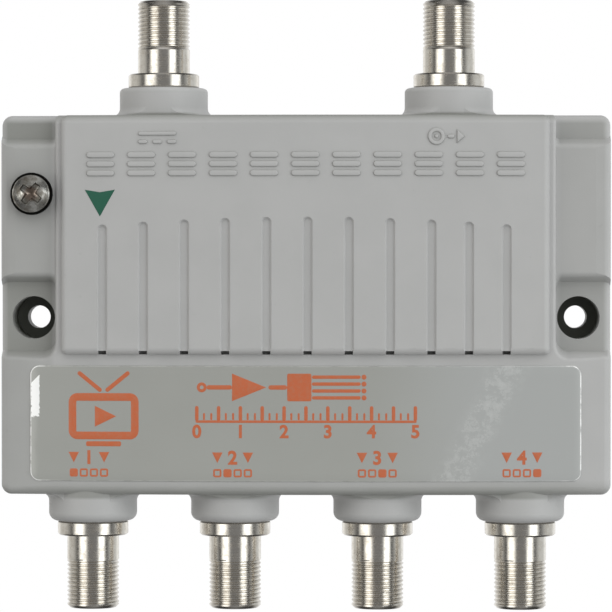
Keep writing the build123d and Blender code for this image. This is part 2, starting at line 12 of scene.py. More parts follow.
import bmesh
import bpy
import numpy as np
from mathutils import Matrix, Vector


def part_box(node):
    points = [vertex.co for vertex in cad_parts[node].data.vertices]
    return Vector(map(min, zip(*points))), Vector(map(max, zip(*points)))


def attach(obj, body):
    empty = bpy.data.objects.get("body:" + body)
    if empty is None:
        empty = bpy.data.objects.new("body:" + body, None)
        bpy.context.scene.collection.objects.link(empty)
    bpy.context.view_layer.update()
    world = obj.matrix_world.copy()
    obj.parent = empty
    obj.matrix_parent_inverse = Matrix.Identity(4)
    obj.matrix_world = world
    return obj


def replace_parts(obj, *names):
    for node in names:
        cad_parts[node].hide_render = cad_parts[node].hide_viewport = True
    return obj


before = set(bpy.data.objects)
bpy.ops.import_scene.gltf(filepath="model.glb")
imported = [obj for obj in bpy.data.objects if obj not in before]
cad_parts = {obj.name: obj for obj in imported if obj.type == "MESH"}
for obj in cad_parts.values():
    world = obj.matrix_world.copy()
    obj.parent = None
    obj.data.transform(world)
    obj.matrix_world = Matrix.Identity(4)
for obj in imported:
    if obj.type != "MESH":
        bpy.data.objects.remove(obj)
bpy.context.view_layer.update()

log = logging.getLogger("amplifier")

MM = 0.001
PHOTO_SIZE = 612
CROWN_RADIUS = 500 * MM
OUTPUT_NAMES = ("output_1", "output_2", "output_3", "output_4")
PORT_NAMES = (*OUTPUT_NAMES, "power_input", "rf_input")
FOOT = "foot"

Colour = tuple[float, float, float]
Place = tuple[float, float, float]
Point = tuple[float, float]
Span = tuple[float, float]


class Body(str, Enum):
    """The frame's bodies that pieces ride on."""

    HOUSING = "housing"
    SCREW = "ground_screw"


class Facing(Enum):
    """Which way a turned piece points: the rotation that takes its own axis there."""

    UP = ((1, 0, 0), (0, 1, 0), (0, 0, 1))
    DOWN = ((1, 0, 0), (0, -1, 0), (0, 0, -1))
    FRONT = ((1, 0, 0), (0, 0, -1), (0, 1, 0))
    BACK = ((1, 0, 0), (0, 0, 1), (0, -1, 0))


def crown_drop(x: np.ndarray | float) -> np.ndarray | float:
    """How far the arched front falls back beside the centre line: the circle's radius less its height there.

    Args:
        x: Distance from the centre line.

    Returns:
        The fall, in the same shape as x.
    """
    return CROWN_RADIUS - np.sqrt(CROWN_RADIUS**2 - np.square(x))


# Shader nodes


class NodeTree:
    """A node tree with short calls that place nodes and join them."""

    def __init__(self, tree: bpy.types.NodeTree) -> None:
        """Keeps the tree that the nodes go into."""
        self.tree = tree

    def feed(self, socket: bpy.types.NodeSocket, value: object) -> None:
        """Joins a socket to another node's output, or sets its value.

        Args:
            socket: The input.
            value: An output socket, a number or a tuple.
        """
        if isinstance(value, bpy.types.NodeSocket):
            self.tree.links.new(value, socket)
        elif isinstance(value, tuple) and len(value) == 3 and socket.type == "RGBA":
            socket.default_value = (*value, 1.0)
        else:
            socket.default_value = value

    def add(self, kind: str, settings: dict[str, object] | None = None, **inputs: object) -> bpy.types.Node:
        """Places a node.

        Args:
            kind: The node's type, without the word that all shader nodes begin with.
            settings: The node's own settings.
            inputs: What goes into each input, by name with underscores, or by number after the letter i.

        Returns:
            The node.
        """
        node = self.tree.nodes.new("ShaderNode" + kind)
        for name, value in (settings or {}).items():
            setattr(node, name, value)
        for name, value in inputs.items():
            key = int(name[1:]) if name[0] == "i" and name[1:].isdigit() else name.replace("_", " ")
            self.feed(node.inputs[key], value)
        return node

    def math(self, operation: str, *values: object) -> bpy.types.NodeSocket:
        """The result of one sum on numbers or sockets.

        Args:
            operation: Blender's name of the sum.
            values: What it works on.

        Returns:
            The output socket.
        """
        node = self.add("Math", {"operation": operation}, **{f"i{i}": v for i, v in enumerate(values)})
        return node.outputs[0]

    def product(self, *values: object) -> bpy.types.NodeSocket:
        """Two or more values, multiplied."""
        return reduce(lambda one, other: self.math("MULTIPLY", one, other), values)

    def highest(self, *values: object) -> bpy.types.NodeSocket:
        """The greatest of two or more values."""
        return reduce(lambda one, other: self.math("MAXIMUM", one, other), values)

    def length(self, one: object, other: object) -> bpy.types.NodeSocket:
        """The root of the sum of two squares."""
        squares = [self.math("POWER", value, 2.0) for value in (one, other)]
        return self.math("SQRT", self.math("ADD", *squares))

    def axes(self, vector: bpy.types.NodeSocket) -> list[bpy.types.NodeSocket]:
        """A vector's X, Y and Z."""
        return list(self.add("SeparateXYZ", Vector=vector).outputs)

    def ramp(self, value: object, low: float, high: float, to_low: float = 0.0, to_high: float = 1.0,
             smooth: bool = False) -> bpy.types.NodeSocket:
        """A value carried from one range to another and held at its ends.

        Args:
            value: What is carried.
            low: The value that becomes to_low.
            high: The value that becomes to_high.
            to_low: The result at low.
            to_high: The result at high.
            smooth: Whether the ends are eased.

        Returns:
            The output socket.
        """
        kind = "SMOOTHSTEP" if smooth else "LINEAR"
        node = self.add("MapRange", {"interpolation_type": kind}, Value=value, From_Min=low, From_Max=high,
                        To_Min=to_low, To_Max=to_high)
        return node.outputs["Result"]

    def mix(self, factor: object, one: object, other: object) -> bpy.types.NodeSocket:
        """A colour between two, by a factor from 0 to 1.

        Args:
            factor: How much of the other.
            one: The colour at 0.
            other: The colour at 1.

        Returns:
            The output socket.
        """
        node = self.add("Mix", {"data_type": "RGBA"})
        for key, value in ((0, factor), (6, one), (7, other)):
            self.feed(node.inputs[key], value)
        return node.outputs[2]

    def noise(self, coordinates: object, size: float, detail: float = 3.0,
              rough: float = 0.55) -> bpy.types.NodeSocket:
        """Soft noise from 0 to 1 whose blotches are about the given size.

        Args:
            coordinates: Where it is read.
            size: The blotches' size in metres.
            detail: How many finer layers it has.
            rough: How strong they are.

        Returns:
            The output socket.
        """
        node = self.add("TexNoise", Vector=coordinates, Scale=1 / size, Detail=detail, Roughness=rough)
        return node.outputs["Fac"]


class EffectGroup:
    """A node group that several materials share. A subclass names its inputs and outputs and fills it."""

    title = "effect"
    inputs: tuple[tuple[str, str, float], ...] = ()
    outputs: tuple[tuple[str, str], ...] = ()
    built: dict[str, bpy.types.NodeTree] = {}

    def fill(self, tree: NodeTree, given: bpy.types.Node, result: bpy.types.Node) -> None:
        """Places the group's nodes between its inputs and its outputs."""
        raise NotImplementedError

    def group(self) -> bpy.types.NodeTree:
        """The group, built the first time that a material asks for it.

        Returns:
            The node tree.
        """
        if self.title not in EffectGroup.built:
            made = bpy.data.node_groups.new(self.title, "ShaderNodeTree")
            for name, kind, start in self.inputs:
                socket = made.interface.new_socket(name=name, in_out="INPUT", socket_type=kind)
                if kind == "NodeSocketFloat":
                    socket.default_value = start
            for name, kind in self.outputs:
                made.interface.new_socket(name=name, in_out="OUTPUT", socket_type=kind)
            self.fill(NodeTree(made), made.nodes.new("NodeGroupInput"), made.nodes.new("NodeGroupOutput"))
            EffectGroup.built[self.title] = made
        return EffectGroup.built[self.title]

    def place(self, tree: NodeTree, **inputs: object) -> bpy.types.Node:
        """Places the group in a material.

        Args:
            tree: The material's node tree.
            inputs: What goes into the group's inputs.

        Returns:
            The group node.
        """
        return tree.add("Group", {"node_tree": self.group()}, **inputs)


class Grain(EffectGroup):
    """Fine speckle with broad soft blotches: one value for the colour and one height for the bump."""

    title = "grain"
    inputs = (("Vector", "NodeSocketVector", 0.0), ("Fine Scale", "NodeSocketFloat", 3000.0),
              ("Broad Scale", "NodeSocketFloat", 60.0))
    outputs = (("Speckle", "NodeSocketFloat"), ("Blotch", "NodeSocketFloat"), ("Height", "NodeSocketFloat"))

    stretch: Span = (0.3, 0.7)
    pit_share = 0.5

    def fill(self, tree: NodeTree, given: bpy.types.Node, result: bpy.types.Node) -> None:
        """Speckle and height are fine noise, and blotch is broad noise with its middle stretched.

        Args:
            tree: The group's node tree.
            given: The node that holds the group's inputs.
            result: The node that takes its outputs.
        """
        where = given.outputs["Vector"]
        size = given.outputs["Fine Scale"]
        fine = tree.add("TexNoise", Vector=where, Scale=size, Detail=4.0, Roughness=0.6)
        broad = tree.add("TexNoise", Vector=where, Scale=given.outputs["Broad Scale"], Detail=3.0,
                         Roughness=0.5)
        pits = tree.add("TexVoronoi", {"feature": "SMOOTH_F1"}, Vector=where, Scale=size)
        height = tree.math("ADD", fine.outputs["Fac"], tree.product(pits.outputs["Distance"], self.pit_share))
        tree.feed(result.inputs["Speckle"], fine.outputs["Fac"])
        tree.feed(result.inputs["Blotch"], tree.ramp(broad.outputs["Fac"], *self.stretch, smooth=True))
        tree.feed(result.inputs["Height"], height)


class TurningMarks(EffectGroup):
    """Fine rings that a lathe leaves round an axis: a value and a height that change only along it."""

    title = "turning_marks"
    inputs = (("Along", "NodeSocketFloat", 0.0), ("Scale", "NodeSocketFloat", 4000.0))
    outputs = (("Mark", "NodeSocketFloat"), ("Height", "NodeSocketFloat"))

    stretch: Span = (0.35, 0.65)

    def fill(self, tree: NodeTree, given: bpy.types.Node, result: bpy.types.Node) -> None:
        """One-dimensional noise along the axis.

        Args:
            tree: The group's node tree.
            given: The node that holds the group's inputs.
            result: The node that takes its outputs.
        """
        marks = tree.add("TexNoise", {"noise_dimensions": "1D"}, W=given.outputs["Along"],
                         Scale=given.outputs["Scale"], Detail=2.0, Roughness=0.6)
        tree.feed(result.inputs["Mark"], tree.ramp(marks.outputs["Fac"], *self.stretch))
        tree.feed(result.inputs["Height"], marks.outputs["Fac"])


class Grime(EffectGroup):
    """Patchy handling dirt: a mask of soft spots."""

    title = "grime"
    inputs = (("Vector", "NodeSocketVector", 0.0), ("Scale", "NodeSocketFloat", 400.0),
              ("Cover", "NodeSocketFloat", 0.4))
    outputs = (("Mask", "NodeSocketFloat"),)

    bare_level = 0.75
    cover_drop = 0.4
    steepness = 6.0

    def fill(self, tree: NodeTree, given: bpy.types.Node, result: bpy.types.Node) -> None:
        """Noise that passes a level which the cover sets.

        Args:
            tree: The group's node tree.
            given: The node that holds the group's inputs.
            result: The node that takes its outputs.
        """
        spots = tree.add("TexNoise", Vector=given.outputs["Vector"], Scale=given.outputs["Scale"], Detail=6.0,
                         Roughness=0.7)
        level = tree.math("SUBTRACT", self.bare_level, tree.product(given.outputs["Cover"], self.cover_drop))
        past = tree.product(tree.math("SUBTRACT", spots.outputs["Fac"], level), self.steepness)
        tree.feed(result.inputs["Mask"], tree.add("Clamp", Value=past).outputs[0])


# Finishes


@dataclass
class Surface:
    """A material in the making, with its surface shader and the piece's own coordinates in metres."""

    material: bpy.types.Material
    tree: NodeTree
    shader: bpy.types.Node
    where: bpy.types.NodeSocket

    def dress(self, **inputs: object) -> bpy.types.Material:
        """Feeds the shader's inputs.

        Args:
            inputs: What goes into each input, by name with underscores.

        Returns:
            The material.
        """
        for name, value in inputs.items():
            self.tree.feed(self.shader.inputs[name.replace("_", " ")], value)
        return self.material


@dataclass(frozen=True)
class Finish:
    """A finish with a base colour, a second colour that its grain brings in, and a gloss.

    The fields are the name, the two colours, the metal share, the roughness and how far it wanders, the sizes
    of the grain and of the blotches, how strongly each of them tints, and the bump's strength and depth.
    """

    name: str
    colour: Colour
    second: Colour
    metallic: float = 0.0
    roughness: float = 0.5
    roughness_range: float = 0.08
    grain: float = 0.3 * MM
    blotch: float = 15 * MM
    speckle_tint: float = 0.15
    blotch_tint: float = 0.3
    bump: float = 0.1
    bump_distance: float = 0.03 * MM

    def start(self) -> Surface:
        """A new material whose surface shader is joined to the output.

        Returns:
            The material in the making.
        """
        material = bpy.data.materials.new(self.name)
        material.use_nodes = True
        material.node_tree.nodes.clear()
        tree = NodeTree(material.node_tree)
        shader = tree.add("BsdfPrincipled", Metallic=self.metallic)
        tree.add("OutputMaterial", Surface=shader.outputs[0])
        return Surface(material, tree, shader, tree.add("TexCoord").outputs["Object"])

    def grained(self, tree: NodeTree, where: bpy.types.NodeSocket) -> bpy.types.Node:
        """The grain group at the finish's own sizes."""
        return Grain().place(tree, Vector=where, Fine_Scale=1 / self.grain, Broad_Scale=1 / self.blotch)

    def tinted(self, tree: NodeTree, grain: bpy.types.Node) -> bpy.types.NodeSocket:
        """The base colour with the grain's speckle and blotches in the second colour.

        Args:
            tree: The material's node tree.
            grain: The placed grain group.

        Returns:
            The colour.
        """
        share = tree.math("ADD", tree.product(grain.outputs["Speckle"], self.speckle_tint),
                          tree.product(grain.outputs["Blotch"], self.blotch_tint))
        return tree.mix(share, self.colour, self.second)

    def wandering(self, tree: NodeTree, value: object, span: Span = (0.0, 1.0)) -> bpy.types.NodeSocket:
        """The roughness, which wanders through its range as a value goes through its span."""
        half = self.roughness_range / 2
        return tree.ramp(value, *span, self.roughness - half, self.roughness + half)

    def bumped(self, tree: NodeTree, height: bpy.types.NodeSocket) -> bpy.types.NodeSocket:
        """The surface's normal, with a height laid on it."""
        bump = tree.add("Bump", Strength=self.bump, Distance=self.bump_distance, Height=height)
        return bump.outputs["Normal"]

    def material(self) -> bpy.types.Material:
        """Grain in the colour, the roughness and the bump.

        Returns:
            The material.
        """
        made = self.start()
        tree = made.tree
        grain = self.grained(tree, made.where)
        return made.dress(Base_Color=self.tinted(tree, grain),
                          Roughness=self.wandering(tree, grain.outputs["Blotch"]),
                          Normal=self.bumped(tree, grain.outputs["Height"]))


@dataclass(frozen=True)
class CastPaint(Finish):
    """Satin paint over a casting: fine orange peel, soft unevenness and a little handling dirt.

    It is darker in the recesses, along the front edges and at the marks' feet, in place of shade that the
    studio's light doesn't give. Each span holds the two places between which that tone comes in, or goes out.
    """

    specular: float = 0.4
    dirt: Colour = (0.16, 0.155, 0.14)
    dirt_cover: float = 0.25
    dirt_scale: float = 500.0
    dirt_strength: float = 0.25
    # The colour of the painted shade.
    shade: Colour = (0.072, 0.08, 0.05)
    left_strength: float = 0.46
    right_strength: float = 0.26
    foot_strength: float = 0.4
    head_strength: float = 0.46
    mark_strength: float = 0.66
    hole_strength: float = 0.8
    pocket_inner_x: Span = (45.5 * MM, 46.5 * MM)
    pocket_outer_x: Span = (55.2 * MM, 54.4 * MM)
    pocket_foot_z: Span = (-32.6 * MM, -32.0 * MM)
    pocket_head_z: Span = (36.4 * MM, 35.4 * MM)
    pocket_front_y: Span = (-18.6 * MM, -14.5 * MM)
    pocket_rear_y: Span = (-4 * MM, -9 * MM)
    right_foot_z: Span = (-6.9 * MM, -6.1 * MM)
    left_x: Span = (0.0, -10 * MM)
    across_x: Span = (-10 * MM, 10 * MM)
    foot_z: Span = (-29.4 * MM, -31.6 * MM)
    foot_end_z: Span = (-33.2 * MM, -32.7 * MM)
    head_z: Span = (35.5 * MM, 36.8 * MM)
    head_end_z: Span = (37.4 * MM, 37.1 * MM)
    edge_y: Span = (-15 * MM, -17.5 * MM)
    hole_x: float = 49.7 * MM
    hole_radius: Span = (4.3 * MM, 4.15 * MM)
    hole_y: Span = (-14.9 * MM, -10.5 * MM)

    def material(self) -> bpy.types.Material:
        """The grain of the base finish, with dirt in spots and painted shade, and a gloss that wanders.

        Returns:
            The material.
        """
        made = self.start()
        tree, where = made.tree, made.where
        grain = self.grained(tree, where)
        grime = Grime().place(tree, Vector=where, Scale=self.dirt_scale, Cover=self.dirt_cover)
        spots = tree.product(grime.outputs["Mask"], self.dirt_strength)
        painted = tree.mix(spots, self.tinted(tree, grain), self.dirt)
        return made.dress(Base_Color=tree.mix(self.shaded(tree, where), painted, self.shade),
                          Roughness=self.wandering(tree, grain.outputs["Blotch"]),
                          Normal=self.bumped(tree, grain.outputs["Height"]), Specular_IOR_Level=self.specular)

    def shaded(self, tree: NodeTree, where: bpy.types.NodeSocket) -> bpy.types.NodeSocket:
        """Where shade is painted: the strongest of the masks of the pockets, edges, marks and screw holes.

        The left end is painted darker down to the plate's foot, and the right end only above the plate.

        Args:
            tree: The material's node tree.
            where: The piece's coordinates.

        Returns:
            The mask.
        """
        x, y, z = tree.axes(where)
        aside = tree.math("ABSOLUTE", x)
        pockets = tree.product(
            tree.highest(tree.ramp(z, *self.right_foot_z), tree.ramp(x, *self.left_x)),
            tree.ramp(aside, *self.pocket_inner_x), tree.ramp(aside, *self.pocket_outer_x),
            tree.ramp(z, *self.pocket_foot_z), tree.ramp(z, *self.pocket_head_z),
            tree.ramp(y, *self.pocket_front_y), tree.ramp(y, *self.pocket_rear_y),
            tree.ramp(x, *self.across_x, self.left_strength, self.right_strength))
        # Painted shade along the front edges at the foot and at the head.
        foot = tree.ramp(z, *self.foot_z, 0.0, self.foot_strength)
        head = tree.ramp(z, *self.head_z, 0.0, self.head_strength)
        ends = tree.highest(tree.product(foot, tree.ramp(z, *self.foot_end_z)),
                            tree.product(head, tree.ramp(z, *self.head_end_z)))
        edges = tree.product(ends, tree.ramp(y, *self.edge_y))
        # Painted shade at the foot of each raised mark, by its nearness to the foot.
        nearness = tree.add("Attribute", {"attribute_name": FOOT}).outputs["Fac"]
        marks = tree.product(nearness, self.mark_strength)
        # Painted shade inside the mounting holes.
        radius = tree.length(tree.math("SUBTRACT", aside, self.hole_x), z)
        holes = tree.product(tree.ramp(radius, *self.hole_radius, 0.0, self.hole_strength),
                             tree.ramp(y, *self.hole_y, smooth=True))
        return tree.highest(pockets, edges, marks, holes)


@dataclass(frozen=True)
class TurnedPlate(Finish):
    """Bright plate over turned metal: rings along the axis, and tarnish in soft spots that dull it."""

    tarnish: Colour = (0.42, 0.36, 0.29)
    tarnish_strength: float = 0.35
    tarnish_scale: float = 900.0
    tarnish_cover: float = 0.7
    tarnish_dulling: float = 0.3
    ring: float = 0.12 * MM

    def spots(self, made: Surface) -> bpy.types.NodeSocket:
        """Where the tarnish lies."""
        grime = Grime().place(made.tree, Vector=made.where, Scale=self.tarnish_scale,
                              Cover=self.tarnish_cover)
        return made.tree.product(grime.outputs["Mask"], self.tarnish_strength)

    def dulled(self, tree: NodeTree, spots: bpy.types.NodeSocket) -> bpy.types.NodeSocket:
        """The roughness, raised where the tarnish lies."""
        return tree.math("ADD", tree.product(spots, self.tarnish_dulling), self.roughness)

    def material(self) -> bpy.types.Material:
        """Turning marks in the bump and roughness, and tarnish in the colour.

        Returns:
            The material.
        """
        made = self.start()
        tree = made.tree
        grain = self.grained(tree, made.where)
        marks = TurningMarks().place(tree, Along=tree.axes(made.where)[2], Scale=1 / self.ring)
        spots = self.spots(made)
        rings = tree.product(marks.outputs["Mark"], self.roughness_range)
        return made.dress(Base_Color=tree.mix(spots, self.tinted(tree, grain), self.tarnish),
                          Roughness=tree.math("ADD", rings, self.dulled(tree, spots)),
                          Normal=self.bumped(tree, marks.outputs["Height"]))


@dataclass(frozen=True)
class ScrewHead(TurnedPlate):
    """Dull plate on a screw's head, with painted shade round its edge and rust in its recess."""

    tarnish_scale: float = 700.0
    tarnish_cover: float = 0.8
    tarnish_dulling: float = 0.35
    axis: Point = (-49.7 * MM, 22.5 * MM)
    clean_radius: float = 3.32 * MM
    rim_blend: float = 0.12 * MM
    rim_dulling: float = 0.3
    rim_colour: Colour = (0.006, 0.006, 0.005)
    rust_radius: float = 1.7 * MM
    rust_strength: float = 0.85
    rust: Colour = (0.21, 0.16, 0.13)

    def material(self) -> bpy.types.Material:
        """Spots of tarnish, and two masks by the distance from the screw's axis.

        Returns:
            The material.
        """
        made = self.start()
        tree = made.tree
        grain = self.grained(tree, made.where)
        x, _, z = tree.axes(made.where)
        radius = tree.length(tree.math("SUBTRACT", x, self.axis[0]), tree.math("SUBTRACT", z, self.axis[1]))
        # Painted shade: the steep rim of the head is coloured near black.
        rim_shade = tree.ramp(radius, self.clean_radius, self.clean_radius + self.rim_blend)
        centre = tree.ramp(radius, self.rust_radius, self.rust_radius / 2, 0.0, self.rust_strength,
                           smooth=True)
        spots = self.spots(made)
        plate = tree.mix(spots, self.tinted(tree, grain), self.tarnish)
        rough = tree.math("ADD", self.dulled(tree, spots), tree.product(rim_shade, self.rim_dulling))
        return made.dress(Base_Color=tree.mix(rim_shade, tree.mix(centre, plate, self.rust), self.rim_colour),
                          Roughness=rough, Normal=self.bumped(tree, grain.outputs["Height"]))


@dataclass(frozen=True)
class BrushedSheet(Finish):
    """Rolled sheet metal, with fine streaks along X."""

    streak: float = 40.0
    speckle_span: Span = (0.3, 0.7)

    def material(self) -> bpy.types.Material:
        """Noise drawn out along X in the colour, roughness and bump.

        Returns:
            The material.
        """
        made = self.start()
        tree = made.tree
        drawn = tree.add("Mapping", Vector=made.where, Scale=(1 / self.streak, 1.0, 1.0)).outputs[0]
        grain = self.grained(tree, drawn)
        speckle = grain.outputs["Speckle"]
        return made.dress(Base_Color=self.tinted(tree, grain), Normal=self.bumped(tree, speckle),
                          Roughness=self.wandering(tree, speckle, self.speckle_span))


@dataclass(frozen=True)
class ClearFilm(Finish):
    """Clear glossy film over paint: the paint's colour under a hard coat with smudges and faint waves.

    Its left end has a tall air pocket, painted as a bright reflection, and both ends have a painted highlight
    along the edge that stands off the plate. It is painted lighter towards the right end, where more light
    falls.
    Each span holds the two places, or the two levels of noise, between which a tone comes in.
    """

    specular: float = 0.6
    coat: float = 0.6
    coat_roughness: float = 0.04
    wave: float = 9 * MM
    # Painted light: the film's colour at its right end.
    right_end: Colour = (0.374, 0.382, 0.377)
    right_x: Span = (8 * MM, 34 * MM)
    smudge: Colour = (0.62, 0.63, 0.62)
    smudge_strength: float = 0.42
    smudge_place: Point = (32 * MM, -19 * MM)
    smudge_lean: float = 0.5
    smudge_width: float = 5.5 * MM
    smudge_blotch: float = 1.8 * MM
    smudge_level: Span = (0.36, 0.72)
    smudge_dulling: float = 0.5
    size: Point = (100.2 * MM, 21 * MM)
    middle: Point = (0.0, -19.2 * MM)
    corner_radius: float = 1.7 * MM
    # Near white: the colour of the painted reflection and the painted highlight.
    lifted: Colour = (0.95, 0.95, 0.94)
    pocket_x: Span = (-49.95 * MM, -48.35 * MM)
    pocket_z: Span = (-18.0 * MM, -10.3 * MM)
    pocket_edge: float = 0.08 * MM
    pocket_wander: float = 0.9 * MM
    pocket_blotch: float = 0.7 * MM
    line_width: float = 0.26 * MM
    line_core: float = 0.6
    line_from_end: Span = (4 * MM, 1 * MM)
    line_strength: Span = (0.14, 1.0)
    line_blotch: float = 2.5 * MM
    line_level: Span = (0.40, 0.52)
    line_cover: Span = (0.15, 0.85)

    def material(self) -> bpy.types.Material:
        """The tones under the coat, which the smudges dull.

        Returns:
            The material.
        """
        made = self.start()
        tree, where = made.tree, made.where
        x, _, z = tree.axes(where)
        smears = self.smears(tree, where, x, z)
        # Painted light: lighter and cooler towards the right end, where more light falls.
        side = tree.ramp(x, *self.right_x, smooth=True)
        ground = tree.mix(side, self.tinted(tree, self.grained(tree, where)), self.right_end)
        # Painted reflection in the air pocket and painted highlight along the edge.
        lifted = tree.highest(self.pocket(tree, where, x, z), self.edge_line(tree, where, x, z))
        rough = tree.math("ADD", self.roughness, tree.product(smears, self.smudge_dulling))
        return made.dress(Base_Color=tree.mix(lifted, tree.mix(smears, ground, self.smudge), self.lifted),
                          Roughness=rough, Normal=self.bumped(tree, tree.noise(where, self.wave, detail=1.0)),
                          Specular_IOR_Level=self.specular, Coat_Weight=self.coat,
                          Coat_Roughness=self.coat_roughness)

    def smears(self, tree: NodeTree, where: bpy.types.NodeSocket, x: bpy.types.NodeSocket,
               z: bpy.types.NodeSocket) -> bpy.types.NodeSocket:
        """The smudges, which lie in a leaning band where broken noise passes a level.

        Args:
            tree: The material's node tree.
            where: The piece's coordinates.
            x: Their X.
            z: Their Z.

        Returns:
            The mask.
        """
        rise = tree.math("SUBTRACT", z, self.smudge_place[1])
        lean = tree.math("ADD", self.smudge_place[0], tree.product(rise, self.smudge_lean))
        aside = tree.math("ABSOLUTE", tree.math("SUBTRACT", x, lean))
        band = tree.ramp(aside, self.smudge_width, 0.0, smooth=True)
        noise = tree.noise(where, self.smudge_blotch, detail=6.0, rough=0.75)
        return tree.product(band, tree.ramp(noise, *self.smudge_level, smooth=True), self.smudge_strength)

    def pocket(self, tree: NodeTree, where: bpy.types.NodeSocket, x: bpy.types.NodeSocket,
               z: bpy.types.NodeSocket) -> bpy.types.NodeSocket:
        """Painted reflection in the tall air pocket by the left end.

        A box whose edges wander a little and whose top slopes.

        Args:
            tree: The material's node tree.
            where: The piece's coordinates.
            x: Their X.
            z: Their Z.

        Returns:
            The mask.
        """
        noise = tree.math("SUBTRACT", tree.noise(where, self.pocket_blotch), 0.5)
        wander = tree.product(noise, self.pocket_wander)
        x, z = tree.math("ADD", x, wander), tree.math("ADD", z, wander)
        (left, right), (low, high) = self.pocket_x, self.pocket_z
        sloped = tree.math("SUBTRACT", z, tree.math("SUBTRACT", x, right))
        edge = self.pocket_edge
        return tree.product(tree.ramp(x, left, left + edge), tree.ramp(x, right, right - edge),
                            tree.ramp(z, low, low + edge), tree.ramp(sloped, high, high - edge))

    def edge_line(self, tree: NodeTree, where: bpy.types.NodeSocket, x: bpy.types.NodeSocket,
                  z: bpy.types.NodeSocket) -> bpy.types.NodeSocket:
        """Painted highlight on the raised edge, strong at both ends, faint along the sides, broken in places.

        The distance inside the round-cornered outline is the corner radius less the distance from the
        rectangle of the corners' centres.

        Args:
            tree: The material's node tree.
            where: The piece's coordinates.
            x: Their X.
            z: Their Z.

        Returns:
            The mask.
        """
        away = [tree.math("ABSOLUTE", tree.math("SUBTRACT", value, middle))
                for value, middle in zip((x, z), self.middle)]
        past = [tree.highest(tree.math("SUBTRACT", value, size / 2 - self.corner_radius), 0.0)
                for value, size in zip(away, self.size)]
        inside = tree.math("SUBTRACT", self.corner_radius, tree.length(*past))
        line = tree.ramp(inside, self.line_width, self.line_width * self.line_core)
        faint, strong = (self.size[0] / 2 - reach for reach in self.line_from_end)
        ends = tree.ramp(away[0], faint, strong, *self.line_strength)
        noise = tree.noise(where, self.line_blotch, detail=4.0, rough=0.6)
        return tree.product(line, ends, tree.ramp(noise, *self.line_level, *self.line_cover))


@dataclass(frozen=True)
class SolderMask(Finish):
    """A circuit board: mask over copper tracks, which show as lighter lines."""

    track: Colour = (0.08, 0.30, 0.15)
    track_pitch: float = 2.5 * MM
    track_level: Span = (0.75, 0.85)
    block: float = 8 * MM
    block_level: Span = (0.48, 0.52)
    second_share: float = 0.3
    gloss: Span = (0.25, 0.4)

    def material(self) -> bpy.types.Material:
        """The crests of sine waves across X and Z, switched by blocks of noise, draw the tracks.

        Returns:
            The material.
        """
        made = self.start()
        tree, where = made.tree, made.where
        grain = self.grained(tree, where)
        x, _, z = tree.axes(where)
        waves = [tree.math("SINE", tree.product(value, 2 * math.pi / self.track_pitch)) for value in (x, z)]
        lines = [tree.ramp(wave, *self.track_level) for wave in waves]
        drawn = [tree.mix(line, self.colour, self.track) for line in lines]
        blocks = tree.ramp(tree.noise(where, self.block, detail=0.0), *self.block_level)
        share = tree.product(grain.outputs["Blotch"], self.second_share)
        return made.dress(Base_Color=tree.mix(share, tree.mix(blocks, *drawn), self.second),
                          Roughness=tree.ramp(grain.outputs["Speckle"], 0, 1, *self.gloss),
                          Normal=self.bumped(tree, lines[0]))


@dataclass(frozen=True)
class Ink(Finish):
    """Screen-printed ink: one colour whose cover is slightly uneven."""

    thin: float = 0.35
    patch: float = 0.5 * MM
    patch_level: Span = (0.45, 0.7)
    thin_dulling: float = 0.2

    def material(self) -> bpy.types.Material:
        """Fine noise thins the ink towards the second colour.

        Returns:
            The material.
        """
        made = self.start()
        tree = made.tree
        noise = tree.noise(made.where, self.patch, detail=5.0, rough=0.7)
        cover = tree.ramp(noise, *self.patch_level, 0.0, self.thin)
        rough = tree.ramp(cover, 0, 1, self.roughness, self.roughness + self.thin_dulling)
        return made.dress(Base_Color=tree.mix(cover, self.colour, self.second), Roughness=rough,
                          Normal=self.bumped(tree, cover))


FLOOR_PAINT = Finish("floor_paint", colour=(0.86, 0.86, 0.85), second=(0.82, 0.82, 0.81), roughness=0.8,
                     grain=2 * MM, blotch=300 * MM, bump=0.0)
PAINT = CastPaint("cast_paint", colour=(0.432, 0.43, 0.428), second=(0.372, 0.372, 0.369), roughness=0.48,
                  grain=0.28 * MM, blotch=9 * MM, speckle_tint=0.22, blotch_tint=0.3, bump=0.25)
NICKEL = TurnedPlate("nickel_plate", colour=(0.74, 0.71, 0.66), second=(0.62, 0.58, 0.52), metallic=1.0,
                     roughness=0.13, roughness_range=0.1, grain=0.2 * MM, blotch=3 * MM, bump=0.12,
                     bump_distance=0.01 * MM)
FILM = ClearFilm("clear_film", colour=(0.322, 0.325, 0.304), second=(0.37, 0.373, 0.355), roughness=0.22,
                 grain=0.4 * MM, blotch=20 * MM, bump=0.15, bump_distance=0.1 * MM)
ORANGE_INK = Ink("orange_ink", colour=(0.50, 0.125, 0.05), second=(0.36, 0.20, 0.13), roughness=0.35,
                 bump=0.05)
SCREW_HEAD = ScrewHead("screw_head", colour=(0.62, 0.615, 0.59), second=(0.32, 0.315, 0.29), metallic=1.0,
                       roughness=0.2, grain=0.25 * MM, blotch=1.2 * MM, speckle_tint=0.35, blotch_tint=0.8,
                       bump=0.5, bump_distance=0.03 * MM, tarnish=(0.12, 0.10, 0.075), tarnish_strength=0.7)
GREEN_INK = Ink("green_ink", colour=(0.008, 0.095, 0.056), second=(0.015, 0.08, 0.055), roughness=0.5,
                bump=0.05)

